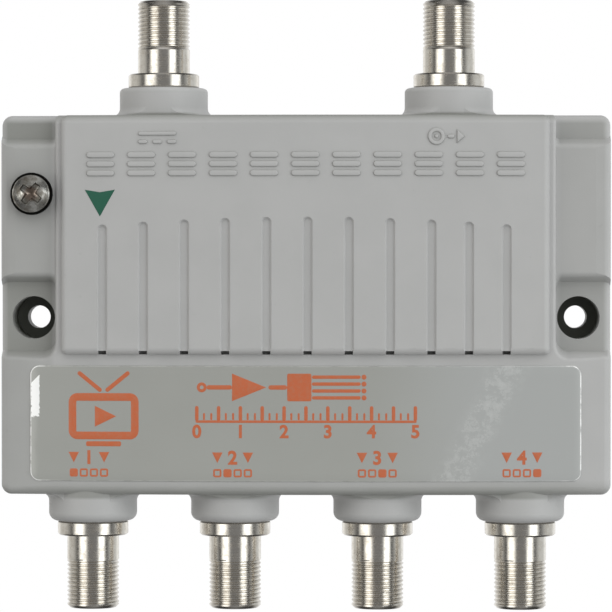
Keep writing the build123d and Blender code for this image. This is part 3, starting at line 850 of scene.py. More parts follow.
FINISHES: dict[str, Finish] = {
    "housing_paint": PAINT,
    "nickel": NICKEL,
    "label_clear": FILM,
    "cover_metal": BrushedSheet("stamped_aluminium", colour=(0.70, 0.71, 0.72), second=(0.52, 0.53, 0.55),
                                metallic=1.0, roughness=0.38, roughness_range=0.16, grain=0.15 * MM,
                                speckle_tint=0.5, bump=0.2, bump_distance=0.01 * MM),
    "screw_steel": TurnedPlate("zinc_plate", colour=(0.60, 0.595, 0.57), second=(0.46, 0.45, 0.42),
                               metallic=1.0, roughness=0.26, grain=0.25 * MM, blotch=2 * MM, bump=0.1,
                               bump_distance=0.01 * MM),
    "gasket_rubber": Finish("gasket_rubber", colour=(0.02, 0.02, 0.02), second=(0.05, 0.05, 0.05),
                            roughness=0.8, bump=0.3),
    "board_laminate": SolderMask("solder_mask", colour=(0.015, 0.12, 0.05), second=(0.03, 0.18, 0.08),
                                 bump=0.2),
    "insulator_plastic": Finish("moulded_plastic", colour=(0.78, 0.76, 0.70), second=(0.66, 0.63, 0.56),
                                roughness=0.4, grain=0.2 * MM, blotch=2 * MM, bump=0.08),
    "contact_brass": TurnedPlate("contact_brass", colour=(0.80, 0.58, 0.24), second=(0.66, 0.45, 0.18),
                                 metallic=1.0, roughness=0.2, grain=0.2 * MM, blotch=2 * MM),
    "tin_plate": BrushedSheet("tin_plate", colour=(0.66, 0.66, 0.65), second=(0.50, 0.50, 0.50), metallic=1.0,
                              roughness=0.3, grain=0.2 * MM),
    "ferrite": Finish("ferrite", colour=(0.045, 0.045, 0.05), second=(0.09, 0.085, 0.08), roughness=0.7,
                      grain=0.12 * MM, blotch=1.5 * MM, bump=0.4),
    "copper_wire": TurnedPlate("enamelled_copper", colour=(0.72, 0.26, 0.11), second=(0.50, 0.16, 0.07),
                               metallic=1.0, roughness=0.22, ring=0.5 * MM, tarnish=(0.2, 0.07, 0.03)),
    "arrestor_ceramic": Finish("tube_ceramic", colour=(0.80, 0.77, 0.70), second=(0.70, 0.65, 0.55),
                               roughness=0.35, blotch=1.5 * MM),
    "can_aluminium": TurnedPlate("can_aluminium", colour=(0.72, 0.73, 0.74), second=(0.60, 0.61, 0.62),
                                 metallic=1.0, roughness=0.25),
    "chip_black": Finish("moulded_epoxy", colour=(0.02, 0.02, 0.022), second=(0.045, 0.045, 0.045),
                         roughness=0.55, grain=0.1 * MM, blotch=1 * MM, bump=0.3),
    "capacitor_ceramic": Finish("capacitor_ceramic", colour=(0.45, 0.30, 0.17), second=(0.55, 0.40, 0.26),
                                roughness=0.45, grain=0.1 * MM, blotch=0.8 * MM),
}


# Meshes


def grid_mesh(name: str, points: np.ndarray, foot: np.ndarray | None = None) -> bpy.types.Mesh:
    """A mesh of quads over a grid of points, with coinciding points merged, so that a closed grid is closed.

    The quad at row r and column c joins (r, c), (r, c + 1), (r + 1, c + 1) and (r + 1, c).

    Args:
        name: The mesh's name.
        points: Rows by columns by three, in metres.
        foot: How near each point is to a mark's foot, from 0 to 1, which is kept as an attribute.

    Returns:
        The mesh.
    """
    rows, columns = points.shape[:2]
    index = np.arange(rows * columns).reshape(rows, columns)
    quads = np.stack((index[:-1, :-1], index[:-1, 1:], index[1:, 1:], index[1:, :-1]), axis=-1).reshape(-1, 4)
    mesh = bpy.data.meshes.new(name)
    mesh.from_pydata(points.reshape(-1, 3).tolist(), [], quads.tolist())
    if foot is not None:
        mesh.attributes.new(FOOT, "FLOAT", "POINT").data.foreach_set("value", foot.astype(np.float32).ravel())
    return merged(mesh)


def merged(mesh: bpy.types.Mesh, distance: float = 0.5e-6) -> bpy.types.Mesh:
    """Merges the points of a mesh that coincide, and drops the faces that this leaves without area.

    Args:
        mesh: The mesh.
        distance: How near points merge.

    Returns:
        The same mesh.
    """
    edit = bmesh.new()
    edit.from_mesh(mesh)
    bmesh.ops.remove_doubles(edit, verts=edit.verts, dist=distance)
    bmesh.ops.dissolve_degenerate(edit, edges=edit.edges, dist=distance)
    edit.to_mesh(mesh)
    edit.free()
    return mesh


def joined_mesh(name: str, meshes: list[bpy.types.Mesh]) -> bpy.types.Mesh:
    """Several meshes as one.

    Args:
        name: The new mesh's name.
        meshes: The meshes, which are removed.

    Returns:
        The mesh.
    """
    edit = bmesh.new()
    for mesh in meshes:
        edit.from_mesh(mesh)
        bpy.data.meshes.remove(mesh)
    whole = bpy.data.meshes.new(name)
    edit.to_mesh(whole)
    edit.free()
    return whole


def piece(name: str, mesh: bpy.types.Mesh, finish: bpy.types.Material, body: Body,
          sharp: float = 35.0) -> bpy.types.Object:
    """Puts a mesh into the scene as a piece that rides on a body.

    Args:
        name: The piece's name.
        mesh: Its mesh, in place.
        finish: Its material.
        body: The body that it rides on.
        sharp: The angle in degrees past which an edge is left sharp.

    Returns:
        The piece.
    """
    mesh.materials.append(finish)
    mesh.shade_smooth()
    mesh.set_sharp_from_angle(angle=math.radians(sharp))
    made = bpy.data.objects.new(name, mesh)
    bpy.context.scene.collection.objects.link(made)
    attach(made, body.value)
    log.info("%s: %d faces, on %s", name, len(mesh.polygons), body.value)
    return made


# Turned pieces


@dataclass(frozen=True)
class Thread:
    """An outer screw thread on a turned piece, between two heights, with its grooves run out at both ends.

    The steps are the rows' places within each pitch, and the cuts say how deep in the groove each row lies.
    """

    crest: float
    pitch: float
    start: float
    end: float
    depth_share: float = 0.32
    run_out: float = 0.6
    steps: tuple[float, ...] = (0.0, 0.125, 0.42, 0.70)
    cuts: tuple[float, ...] = (0.0, 0.0, 1.0, 1.0)

    def rows(self, share: np.ndarray) -> np.ndarray:
        """Rows that climb one pitch in each turn, and so follow the crests and the roots.

        A row's height is its place in pitches plus the share of a turn, held between the thread's ends. Its
        radius is the crest's, less the groove's depth faded to nothing near both ends.

        Args:
            share: The columns' shares of a turn, from 0 to 1.

        Returns:
            Rows by columns by two: radius and height.
        """
        turns = math.ceil((self.end - self.start) / self.pitch) + 1
        place = (np.arange(turns)[:, None] + np.array(self.steps)).reshape(-1, 1)
        cut = np.tile(self.cuts, turns)[:, None]
        height = np.clip(self.start + (place - 1 + share) * self.pitch, self.start, self.end)
        fade = np.minimum(height - self.start, self.end - height) / (self.run_out * self.pitch)
        radius = self.crest - cut * self.depth_share * self.pitch * np.clip(fade, 0, 1)
        return np.stack((radius, height), axis=-1)


@dataclass(frozen=True)
class CrossRecess:
    """The driver's recess in a screw's head: a cross with sloping walls whose floor deepens to the centre."""

    reach: float
    width: float
    depth: float
    turn: float = 0.0
    wall: float = 0.22 * MM
    arm_taper: float = 0.25
    floor_fall: float = 0.67

    def sink(self, x: np.ndarray, y: np.ndarray) -> np.ndarray:
        """How far the head is sunk at points on it.

        Each arm is a box of half the width by the reach, a little narrower at its end. The depth falls in a
        straight line from the centre to the reach, times a smooth step across the wall inside the outline.

        Args:
            x: Places across the head.
            y: Places up the head.

        Returns:
            The depths.
        """
        angle = math.radians(self.turn)
        u = np.abs(x * math.cos(angle) + y * math.sin(angle))
        v = np.abs(y * math.cos(angle) - x * math.sin(angle))
        taper = self.width / 2 * (1 - self.arm_taper * np.minimum(np.maximum(u, v) / self.reach, 1))
        outside = np.minimum(np.maximum(u - taper, v - self.reach), np.maximum(v - taper, u - self.reach))
        step = np.clip(-outside / self.wall, 0, 1)
        floor = self.depth * (1 - self.floor_fall * np.minimum(np.hypot(u, v) / self.reach, 1))
        return floor * step * step * (3 - 2 * step)


@dataclass(frozen=True)
class TurnedPiece:
    """A solid of revolution: corners up to the thread, the thread, and corners after it, round an axis."""

    before: tuple[Point, ...]
    thread: Thread
    after: tuple[Point, ...]
    columns: int = 96

    def points(self, facing: Facing, place: Place, recess: CrossRecess | None = None) -> np.ndarray:
        """The surface's grid: each row's radius and height, carried round the axis and turned into place.

        Args:
            facing: Which way the piece points.
            place: Where its origin goes.
            recess: The recess sunk into the rows above the piece's own zero height.

        Returns:
            Rows by columns by three.
        """
        share = np.arange(self.columns + 1) / self.columns
        level = [np.tile(np.array(corners, float)[:, None, :], (1, share.size, 1))
                 for corners in (self.before, self.after)]
        profile = np.concatenate((level[0], self.thread.rows(share), level[1]))
        angle = 2 * math.pi * (share % 1)
        radius, height = profile[..., 0], profile[..., 1]
        x, y = radius * np.cos(angle), radius * np.sin(angle)
        if recess is not None:
            first = profile.shape[0] - len(self.after)
            height = height.copy()
            height[first:] -= recess.sink(x[first:], y[first:])
        local = np.stack((x, y, height), axis=-1)
        return local @ np.array(facing.value, float).T + np.array(place)


@dataclass
class Port:
    """A threaded coaxial port: a rear shank, a round collar, a neck, and a nose with a fine thread."""

    name: str
    shank_radius: float = 4.4 * MM
    rear_bore: float = 2.7 * MM
    collar_length: float = 2.6 * MM
    neck_length: float = 4.4 * MM
    thread_radius: float = 4.7625 * MM
    thread_pitch: float = 25.4 / 32 * MM
    edge: float = 0.3 * MM
    nose_chamfer: float = 0.5 * MM
    mouth_radius: float = 3.5 * MM
    mouth_floor: float = 1.5 * MM
    shank_length: float = 8.2 * MM
    lip: float = 0.15 * MM
    guard: float = 0.06 * MM

    def site(self) -> tuple[Facing, Place, float, float]:
        """Where the port stands, from its box in the frame.

        Returns:
            Which way it points, the place where its collar seats, its length from there, and the collar's
            radius.
        """
        low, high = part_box(f"{self.name}_port")
        facing = Facing.UP if low.z > 0 else Facing.DOWN
        centre = (low + high) / 2
        total = high.z - low.z
        seat = low.z + self.shank_length if facing is Facing.UP else high.z - self.shank_length
        return facing, (centre.x, centre.y, seat), total - self.shank_length, (high.x - low.x) / 2

    def build(self, finish: bpy.types.Material) -> bpy.types.Object:
        """Makes the port's body in place of the plain one, with a guard ring at each end of its neck.

        The guard rings keep the smooth shading of the collar and the thread off the neck.

        Args:
            finish: Its material.

        Returns:
            The piece.
        """
        facing, place, length, collar = self.site()
        neck = self.collar_length + self.neck_length
        nose = length - self.nose_chamfer
        before = ((self.rear_bore, -self.shank_length), (self.shank_radius, -self.shank_length),
                  (self.shank_radius, 0), (collar - self.edge, 0), (collar, self.edge),
                  (collar, self.collar_length - self.edge), (collar - self.edge, self.collar_length),
                  (self.thread_radius, self.collar_length),
                  (self.thread_radius, self.collar_length + self.guard),
                  (self.thread_radius, neck - self.guard), (self.thread_radius, neck))
        thread = Thread(self.thread_radius, self.thread_pitch, neck, nose)
        after = ((self.thread_radius, nose), (self.thread_radius - self.nose_chamfer, length),
                 (self.mouth_radius + self.lip, length), (self.mouth_radius, length - self.lip),
                 (self.mouth_radius, self.mouth_floor), (self.rear_bore, self.mouth_floor),
                 (self.rear_bore, -self.shank_length))
        points = TurnedPiece(before, thread, after).points(facing, place)
        mesh = grid_mesh(f"{self.name}_nose", points)
        made = piece(f"{self.name}_nose", mesh, finish, Body.HOUSING)
        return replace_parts(made, f"{self.name}_port")


@dataclass
class GroundScrew:
    """The pan-head ground screw, with a cross recess and its thread."""

    head_radius: float = 3.85 * MM
    head_height: float = 2.6 * MM
    dome_radius: float = 5.6 * MM
    dome_edge: float = 3.25 * MM
    shoulder: float = 0.8 * MM
    under_edge: float = 0.12 * MM
    shank_radius: float = 2.08 * MM
    thread_pitch: float = 25.4 / 32 * MM
    point: float = 0.4 * MM
    top_rows: int = 64
    shoulder_rows: int = 8
    recess: CrossRecess = CrossRecess(reach=2.15 * MM, width=1.6 * MM, depth=1.7 * MM, turn=-38.0)

    def build(self, finish: bpy.types.Material) -> bpy.types.Object:
        """Makes the screw in place of the plain one.

        The top is part of a sphere as far as the dome's edge. From there a quarter of an ellipse rounds it
        into the upright side.

        Args:
            finish: Its material.

        Returns:
            The piece.
        """
        low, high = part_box("ground_screw")
        crown = low.y
        tip = high.y - crown
        under = -self.head_height
        across = np.linspace(self.dome_edge, 0, self.top_rows)
        drop = self.dome_radius - np.sqrt(self.dome_radius**2 - across**2)
        turns = np.linspace(0, math.pi / 2, self.shoulder_rows, endpoint=False)
        width = self.head_radius - self.dome_edge
        side = [(self.head_radius - self.under_edge, under), (self.head_radius, under + self.under_edge)]
        side += [(self.head_radius - width * (1 - math.cos(turn)),
                  -drop[0] - self.shoulder * (1 - math.sin(turn))) for turn in turns]
        top = list(zip(across, -drop))
        before = ((0.0, -tip), (self.shank_radius - self.point, -tip), (self.shank_radius, -tip + self.point))
        thread = Thread(self.shank_radius, self.thread_pitch, -tip + self.point, under)
        after = ((self.shank_radius, under), *side, *top)
        centre = (low + high) / 2
        shape = TurnedPiece(before, thread, after, columns=192)
        points = shape.points(Facing.FRONT, (centre.x, crown, centre.z), self.recess)
        mesh = grid_mesh("ground_screw_head", points)
        made = piece("ground_screw_head", mesh, finish, Body.SCREW, sharp=50.0)
        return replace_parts(made, "ground_screw")


@dataclass
class CoverScrews:
    """The six countersunk screws in the rear cover, each turned a little differently."""

    head_radius: float = 2.35 * MM
    shank_radius: float = 1.25 * MM
    length: float = 7.0 * MM
    thread_pitch: float = 0.5 * MM
    edge: float = 0.08 * MM
    point: float = 0.3 * MM
    tip_share: float = 0.8
    top_rows: int = 40
    recess: CrossRecess = CrossRecess(reach=1.35 * MM, width=0.75 * MM, depth=1.0 * MM, wall=0.14 * MM)
    turns: tuple[float, ...] = (12.0, 55.0, 80.0, 33.0, 5.0, 68.0)

    def places(self) -> list[Place]:
        """The heads' centres, from the islands of the plain screws' mesh.

        Returns:
            One place for each screw, with Y at the heads' faces.
        """
        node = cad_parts["cover_screws"]
        coordinates = np.array([v.co for v in node.data.vertices])
        face = coordinates[:, 1].max()
        heads = coordinates[np.isclose(coordinates[:, 1], face, atol=1e-6)]
        apart = 3 * self.head_radius
        centres = []
        while len(heads):
            near = np.hypot(heads[:, 0] - heads[0, 0], heads[:, 2] - heads[0, 2]) < apart
            middle = (heads[near].min(0) + heads[near].max(0)) / 2
            centres.append((middle[0], face, middle[2]))
            heads = heads[~near]
        return centres

    def build(self, finish: bpy.types.Material) -> bpy.types.Object:
        """Makes all six as one piece.

        Args:
            finish: Their material.

        Returns:
            The piece.
        """
        cone = self.head_radius - self.shank_radius
        start = -self.length + self.point
        before = ((0.0, -self.length), (self.shank_radius * self.tip_share, -self.length),
                  (self.shank_radius, start))
        thread = Thread(self.shank_radius, self.thread_pitch, start, -cone - self.point)
        top = [(radius, 0.0) for radius in np.linspace(self.head_radius - self.edge, 0, self.top_rows)]
        after = ((self.shank_radius, -cone), (self.head_radius, -self.edge), *top)
        shape = TurnedPiece(before, thread, after)
        meshes = [grid_mesh("cover_screw", shape.points(Facing.BACK, place, replace(self.recess, turn=turn)))
                  for place, turn in zip(self.places(), self.turns)]
        mesh = joined_mesh("cover_screw_heads", meshes)
        made = piece("cover_screw_heads", mesh, finish, Body.HOUSING, sharp=50.0)
        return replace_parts(made, "cover_screws")


# Marks on the front


@dataclass(frozen=True)
class Relief:
    """How a mark stands out: its rise, the width of its rounded sides and how deep its foot is sunk."""

    rise: float
    edge: float
    sink: float
    steps: int = 5

    def profile(self) -> tuple[np.ndarray, np.ndarray]:
        """The side from the sunk foot to the flat top: an upright foot, then a quarter of an ellipse.

        Returns:
            The insets from the outline, and the heights.
        """
        turn = np.linspace(0, math.pi / 2, self.steps)
        return (np.concatenate(([0.0], self.edge * (1 - np.cos(turn)))),
                np.concatenate(([-self.sink], self.rise * np.sin(turn))))


class Marks:
    """Raised shapes drawn in X and Z on the arched front, and joined into one mesh of closed shells."""

    corner_points = 7
    side_points = 5

    def __init__(self, name: str, depth: float, relief: Relief) -> None:
        """Starts with no shapes.

        Args:
            name: The piece's name.
            depth: The surface's depth on the centre line.
            relief: The shapes' relief.
        """
        self.name = name
        self.depth = depth
        self.relief = relief
        self.meshes: list[bpy.types.Mesh] = []

    def laid(self, x: np.ndarray, height: np.ndarray, z: np.ndarray) -> np.ndarray:
        """Points at a height over the arched surface, as an array whose last axis is (X, Y, Z)."""
        return np.stack((x, crown_drop(x) - self.depth - height, z), axis=-1)

    def rings(self, ring: np.ndarray, height: np.ndarray) -> None:
        """Adds a closed shell from its rings.

        Args:
            ring: Rings by columns by two, in X and Z. They go anticlockwise, and start at the foot.
            height: One height for each ring.
        """
        level = np.broadcast_to(height[:, None], ring.shape[:2])
        # The housing's paint is darkened by this nearness: painted shade at the marks' feet.
        foot = np.clip(1 - level / self.relief.rise, 0, 1)
        self.meshes.append(grid_mesh(self.name, self.laid(ring[..., 0], level, ring[..., 1]), foot))

    def outline(self, width: float, height: float, radius: float,
                step: float = 1.5 * MM) -> tuple[np.ndarray, np.ndarray]:
        """A round-cornered rectangle, anticlockwise: its corners' centres, and the ways outwards from them.

        Args:
            width: Its width.
            height: Its height.
            radius: Its corners' radius.
            step: How far apart the points on its sides are.

        Returns:
            Places and ways, each columns by two. A place plus the radius times its way lies on the outline.
        """
        corners = np.array((width / 2 - radius, height / 2 - radius)) * ((1, 1), (-1, 1), (-1, -1), (1, -1))
        places, ways = [], []
        for quarter in range(4):
            corner, following = corners[quarter], corners[(quarter + 1) % 4]
            angle = np.radians(np.linspace(0, 90, self.corner_points) + 90 * quarter)
            share = np.linspace(0, 1, 2 + int(np.hypot(*(following - corner)) / step))[1:-1, None]
            places += [np.tile(corner, (angle.size, 1)), corner + share * (following - corner)]
            ways += [np.stack((np.cos(angle), np.sin(angle)), axis=-1),
                     np.tile((math.cos(angle[-1]), math.sin(angle[-1])), (len(share), 1))]
        return np.concatenate(places + [corners[:1]]), np.concatenate(ways + [np.array(((1.0, 0.0),))])

    def bar(self, x: float, z: float, width: float, height: float, radius: float, turn: float = 0.0) -> None:
        """Adds a filled round-cornered bar, whose rings close on the long middle of its corners' rectangle.

        Args:
            x: The centre's X.
            z: The centre's Z.
            width: Its width.
            height: Its height.
            radius: Its corners' radius.
            turn: How far it is turned, in degrees.
        """
        core, outwards = self.outline(width, height, radius)
        inset, rise = self.relief.profile()
        middle = core * np.array((1, 0))
        ring = np.stack((middle, *(core + (radius - i) * outwards for i in inset), core, middle))
        angle = math.radians(turn)
        turned = ring @ np.array(((math.cos(angle), math.sin(angle)), (-math.sin(angle), math.cos(angle))))
        top = self.relief.rise
        self.rings(turned + np.array((x, z)), np.concatenate(([-self.relief.sink], rise, [top, top])))

    def stroke(self, start: Point, end: Point, width: float) -> None:
        """Adds a round-ended line.

        Args:
            start: The middle of its first round end.
            end: The middle of its other one.
            width: Its width.
        """
        reach = np.subtract(end, start)
        middle = np.add(start, end) / 2
        self.bar(middle[0], middle[1], math.hypot(*reach) + width, width, width / 2,
                 math.degrees(math.atan2(reach[1], reach[0])))

    def frame(self, x: float, z: float, width: float, height: float, radius: float, line: float) -> None:
        """Adds an open round-cornered frame: a bar's section is carried round its outline.

        Args:
            x: The centre's X.
            z: The centre's Z.
            width: Its outer width.
            height: Its outer height.
            radius: Its outer corners' radius.
            line: How wide its line is.
        """
        core, outwards = self.outline(width, height, radius)
        inset, rise = self.relief.profile()
        reach = radius - np.concatenate((inset, line - inset[::-1], [0.0]))
        heights = np.concatenate((rise, rise[::-1], [-self.relief.sink]))
        self.rings(np.array((x, z)) + core + reach[:, None, None] * outwards, heights)

    def polygon(self, corners: tuple[Point, ...]) -> None:
        """Adds a polygon: each ring is its outline drawn in towards the middle of its corners.

        Args:
            corners: Its corners, anticlockwise.
        """
        points = np.array(corners)
        centre = points.mean(0)
        following = np.roll(points, -1, 0)
        side, arm = following - points, centre - points
        radius = (np.abs(side[:, 0] * arm[:, 1] - side[:, 1] * arm[:, 0]) / np.hypot(*side.T)).min()
        along = np.linspace(0, 1, self.side_points, endpoint=False)[:, None]
        edges = [point + along * way for point, way in zip(points, side)]
        outline = np.concatenate(edges + [points[:1]])
        inset, rise = self.relief.profile()
        share = np.concatenate(([0.0], 1 - inset / radius, [0.0]))[:, None, None]
        heights = np.concatenate(([-self.relief.sink], rise, [self.relief.rise]))
        self.rings(centre + share * (outline - centre), heights)

    def letter(self, text: str, x: float, z: float, size: float, bolder: float = 0.0) -> None:
        """Adds plain numerals or a sign, centred on a point.

        Args:
            text: The sign.
            x: The centre's X.
            z: The foot's Z.
            size: The size of the type.
            bolder: How far its outline is pushed outwards.
        """
        curve = bpy.data.curves.new(self.name, "FONT")
        curve.body, curve.size, curve.align_x, curve.offset = text, size, "CENTER", bolder
        curve.extrude = (self.relief.rise + self.relief.sink) / 2
        holder = bpy.data.objects.new(self.name, curve)
        mesh = bpy.data.meshes.new_from_object(holder)
        bpy.data.objects.remove(holder)
        bpy.data.curves.remove(curve)
        flat = np.empty(len(mesh.vertices) * 3, np.float32)
        mesh.vertices.foreach_get("co", flat)
        flat = flat.reshape(-1, 3)
        height = flat[:, 2] + (self.relief.rise - self.relief.sink) / 2
        placed = self.laid(x + flat[:, 0], height, z + flat[:, 1])
        mesh.vertices.foreach_set("co", placed.astype(np.float32).ravel())
        self.meshes.append(mesh)

    def build(self, finish: bpy.types.Material, slot: str, sharp: float = 35.0) -> bpy.types.Object:
        """Joins the shapes into one piece.

        Args:
            finish: The material.
            slot: The record's slot. It is not used.
            sharp: The angle past which an edge is left sharp.

        Returns:
            The piece.
        """
        mesh = merged(joined_mesh(self.name, self.meshes))
        return piece(self.name, mesh, finish, Body.HOUSING, sharp)


@dataclass
class LabelFilm:
    """The clear film over the plate, with its edge rounded by the cutter."""

    corner_radius: float = 1.7 * MM
    edge: float = 0.16 * MM
    thickness: float = 0.2 * MM

    def build(self, finish: bpy.types.Material) -> bpy.types.Object:
        """Makes the film in place of the plain one.

        Args:
            finish: Its material.

        Returns:
            The piece.
        """
        low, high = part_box("label_film")
        marks = Marks("label_sheet", -low.y - self.thickness, Relief(self.thickness, self.edge, 0.0))
        centre = (low + high) / 2
        marks.bar(centre.x, centre.z, high.x - low.x, high.z - low.z, self.corner_radius)
        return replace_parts(marks.build(finish, "label_clear", sharp=80.0), "label_film")


@dataclass(frozen=True)
class OutputMark:
    """An output's number between two pointers, over a row of boxes with that output's box filled."""

    box: float = 1.5 * MM
    box_pitch: float = 1.85 * MM
    box_corner: float = 0.36 * MM
    box_line: float = 0.32 * MM
    gap: float = 0.9 * MM
    numeral: float = 3.4 * MM
    bolder: float = 0.11 * MM
    pointer: float = 1.9 * MM
    pointer_lift: float = 0.2 * MM

    def draw(self, marks: Marks, number: int, x: float, foot: float) -> None:
        """Draws the mark.

        Args:
            marks: What it is drawn in.
            number: The output's number, from 0.
            x: Its centre.
            foot: The Z of its foot.
        """
        upper = foot + self.box + self.gap
        marks.letter(str(number + 1), x, upper, self.numeral, self.bolder)
        middle = (len(OUTPUT_NAMES) - 1) / 2
        places = [x + (i - middle) * self.box_pitch for i in range(len(OUTPUT_NAMES))]
        tip = upper + self.pointer_lift
        for place in (places[0], places[-1]):
            marks.polygon(((place, tip), (place + self.pointer / 2, tip + self.pointer),
                           (place - self.pointer / 2, tip + self.pointer)))
        for i, place in enumerate(places):
            box = (place, foot + self.box / 2, self.box, self.box, self.box_corner)
            if i == number:
                marks.bar(*box)
            else:
                marks.frame(*box, self.box_line)


@dataclass(frozen=True)
class LineDiagram:
    """A line from a socket into an amplifier's triangle, on to a splitter's box, and four lines out to dots.

    The triangle, the box and the lines' ends are measured from the diagram's left end.
    """

    height: float = 5.0 * MM
    line: float = 0.8 * MM
    socket: float = 1.8 * MM
    socket_line: float = 0.55 * MM
    triangle: float = 6.4 * MM
    triangle_length: float = 6.2 * MM
    box: float = 16.4 * MM
    box_width: float = 4.4 * MM
    box_corner: float = 0.3 * MM
    way_gap: float = 0.4 * MM
    way_line: float = 0.62 * MM
    way_end: float = 29.4 * MM
    dot: float = 0.9 * MM

    def draw(self, marks: Marks, left: float, top: float) -> None:
        """Draws the diagram.

        Args:
            marks: What it is drawn in.
            left: Its left end.
            top: Its top.
        """
        middle = top - self.height / 2
        half = self.line / 2
        triangle, box, end = left + self.triangle, left + self.box, left + self.way_end
        marks.frame(left + self.socket / 2, middle, self.socket, self.socket, self.socket / 2,
                    self.socket_line)
        marks.stroke((left + self.socket + half, middle), (triangle - half, middle), self.line)
        tip = triangle + self.triangle_length
        marks.polygon(((tip, middle), (triangle, top), (triangle, top - self.height)))
        marks.stroke((tip + self.line, middle), (box - half, middle), self.line)
        marks.bar(box + self.box_width / 2, middle, self.box_width, self.height, self.box_corner)
        ways = len(OUTPUT_NAMES)
        for i in range(ways):
            z = top - self.height * (i + 0.5) / ways
            marks.stroke((box + self.box_width + self.way_gap, z), (end, z), self.way_line)
            marks.bar(end + self.dot, z, self.dot, self.dot, self.dot / 2)


@dataclass(frozen=True)
class RuledScale:
    """A ruled scale with long and short ticks, and a plain number under every second long one."""

    tick: float = 2.5 * MM
    short_share: float = 0.55
    pitch: float = 1.32 * MM
    ticks: int = 31
    long_every: int = 3
    number_every: int = 6
    base_line: float = 0.45 * MM
    long_line: float = 0.64 * MM
    short_line: float = 0.36 * MM
    numeral: float = 3.23 * MM
    numeral_drop: float = 2.89 * MM
    bolder: float = 0.11 * MM

    def draw(self, marks: Marks, left: float, top: float) -> None:
        """Draws the scale.

        Args:
            marks: What it is drawn in.
            left: Its left end.
            top: Its top.
        """
        foot = top - self.tick
        marks.stroke((left, foot), (left + (self.ticks - 1) * self.pitch, foot), self.base_line)
        for i in range(self.ticks):
            long_tick = i % self.long_every == 0
            reach = self.tick if long_tick else self.tick * self.short_share
            x = left + i * self.pitch
            marks.stroke((x, foot + self.base_line), (x, foot + reach),
                         self.long_line if long_tick else self.short_line)
            number, rest = divmod(i, self.number_every)
            if rest == 0:
                marks.letter(str(number), x, foot - self.numeral_drop, self.numeral, self.bolder)


@dataclass(frozen=True)
class ScreenPicture:
    """A plain picture of a television set with two rods, a foot and a triangle on its screen."""

    width: float = 12.8 * MM
    height: float = 8.4 * MM
    corner: float = 1.6 * MM
    line: float = 1.4 * MM
    rods: float = 3.6 * MM
    rod_line: float = 0.75 * MM
    rod_foot: Point = (0.7 * MM, 0.6 * MM)
    rod_spread: float = 4.4 * MM
    foot_drop: float = 0.8 * MM
    foot_height: float = 0.9 * MM
    foot_corner: float = 0.3 * MM
    triangle_x: Span = (-1.6 * MM, 2.3 * MM)
    triangle_half: float = 1.9 * MM

    def draw(self, marks: Marks, x: float, top: float) -> None:
        """Draws the picture.

        Args:
            marks: What it is drawn in.
            x: Its centre.
            top: The rods' top.
        """
        high = top - self.rods
        middle = high - self.height / 2
        marks.frame(x, middle, self.width, self.height, self.corner, self.line)
        for side in (-1, 1):
            foot = (x + side * self.rod_foot[0], high + self.rod_foot[1])
            marks.stroke(foot, (x + side * self.rod_spread, top), self.rod_line)
        marks.bar(x, high - self.height - self.foot_drop, self.width / 2, self.foot_height, self.foot_corner)
        back, tip = (x + reach for reach in self.triangle_x)
        half = self.triangle_half
        marks.polygon(((back, middle - half), (tip, middle), (back, middle + half)))


@dataclass
class LabelPrint:
    """The orange print on the film: a mark over each output, a picture, a line diagram and a ruled scale."""

    relief: Relief = Relief(0.015 * MM, 0.01 * MM, 0.02 * MM)
    top_margin: float = 1.4 * MM
    mark_foot: float = 0.8 * MM
    diagram_left: float = -19.6 * MM
    scale_drop: float = 7.6 * MM
    picture_x: float = -36.6 * MM

    def build(self, finish: bpy.types.Material) -> bpy.types.Object:
        """Makes the whole print as one piece.

        Args:
            finish: Its material.

        Returns:
            The piece.
        """
        low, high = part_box("label_film")
        marks = Marks("label_print", -low.y, self.relief)
        top = high.z - self.top_margin
        for number, name in enumerate(OUTPUT_NAMES):
            x = sum(corner.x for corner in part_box(f"{name}_port")) / 2
            OutputMark().draw(marks, number, x, low.z + self.mark_foot)
        LineDiagram().draw(marks, self.diagram_left, top)
        RuledScale().draw(marks, self.diagram_left, high.z - self.scale_drop)
        ScreenPicture().draw(marks, self.picture_x, top)
        return marks.build(finish, "label_clear")


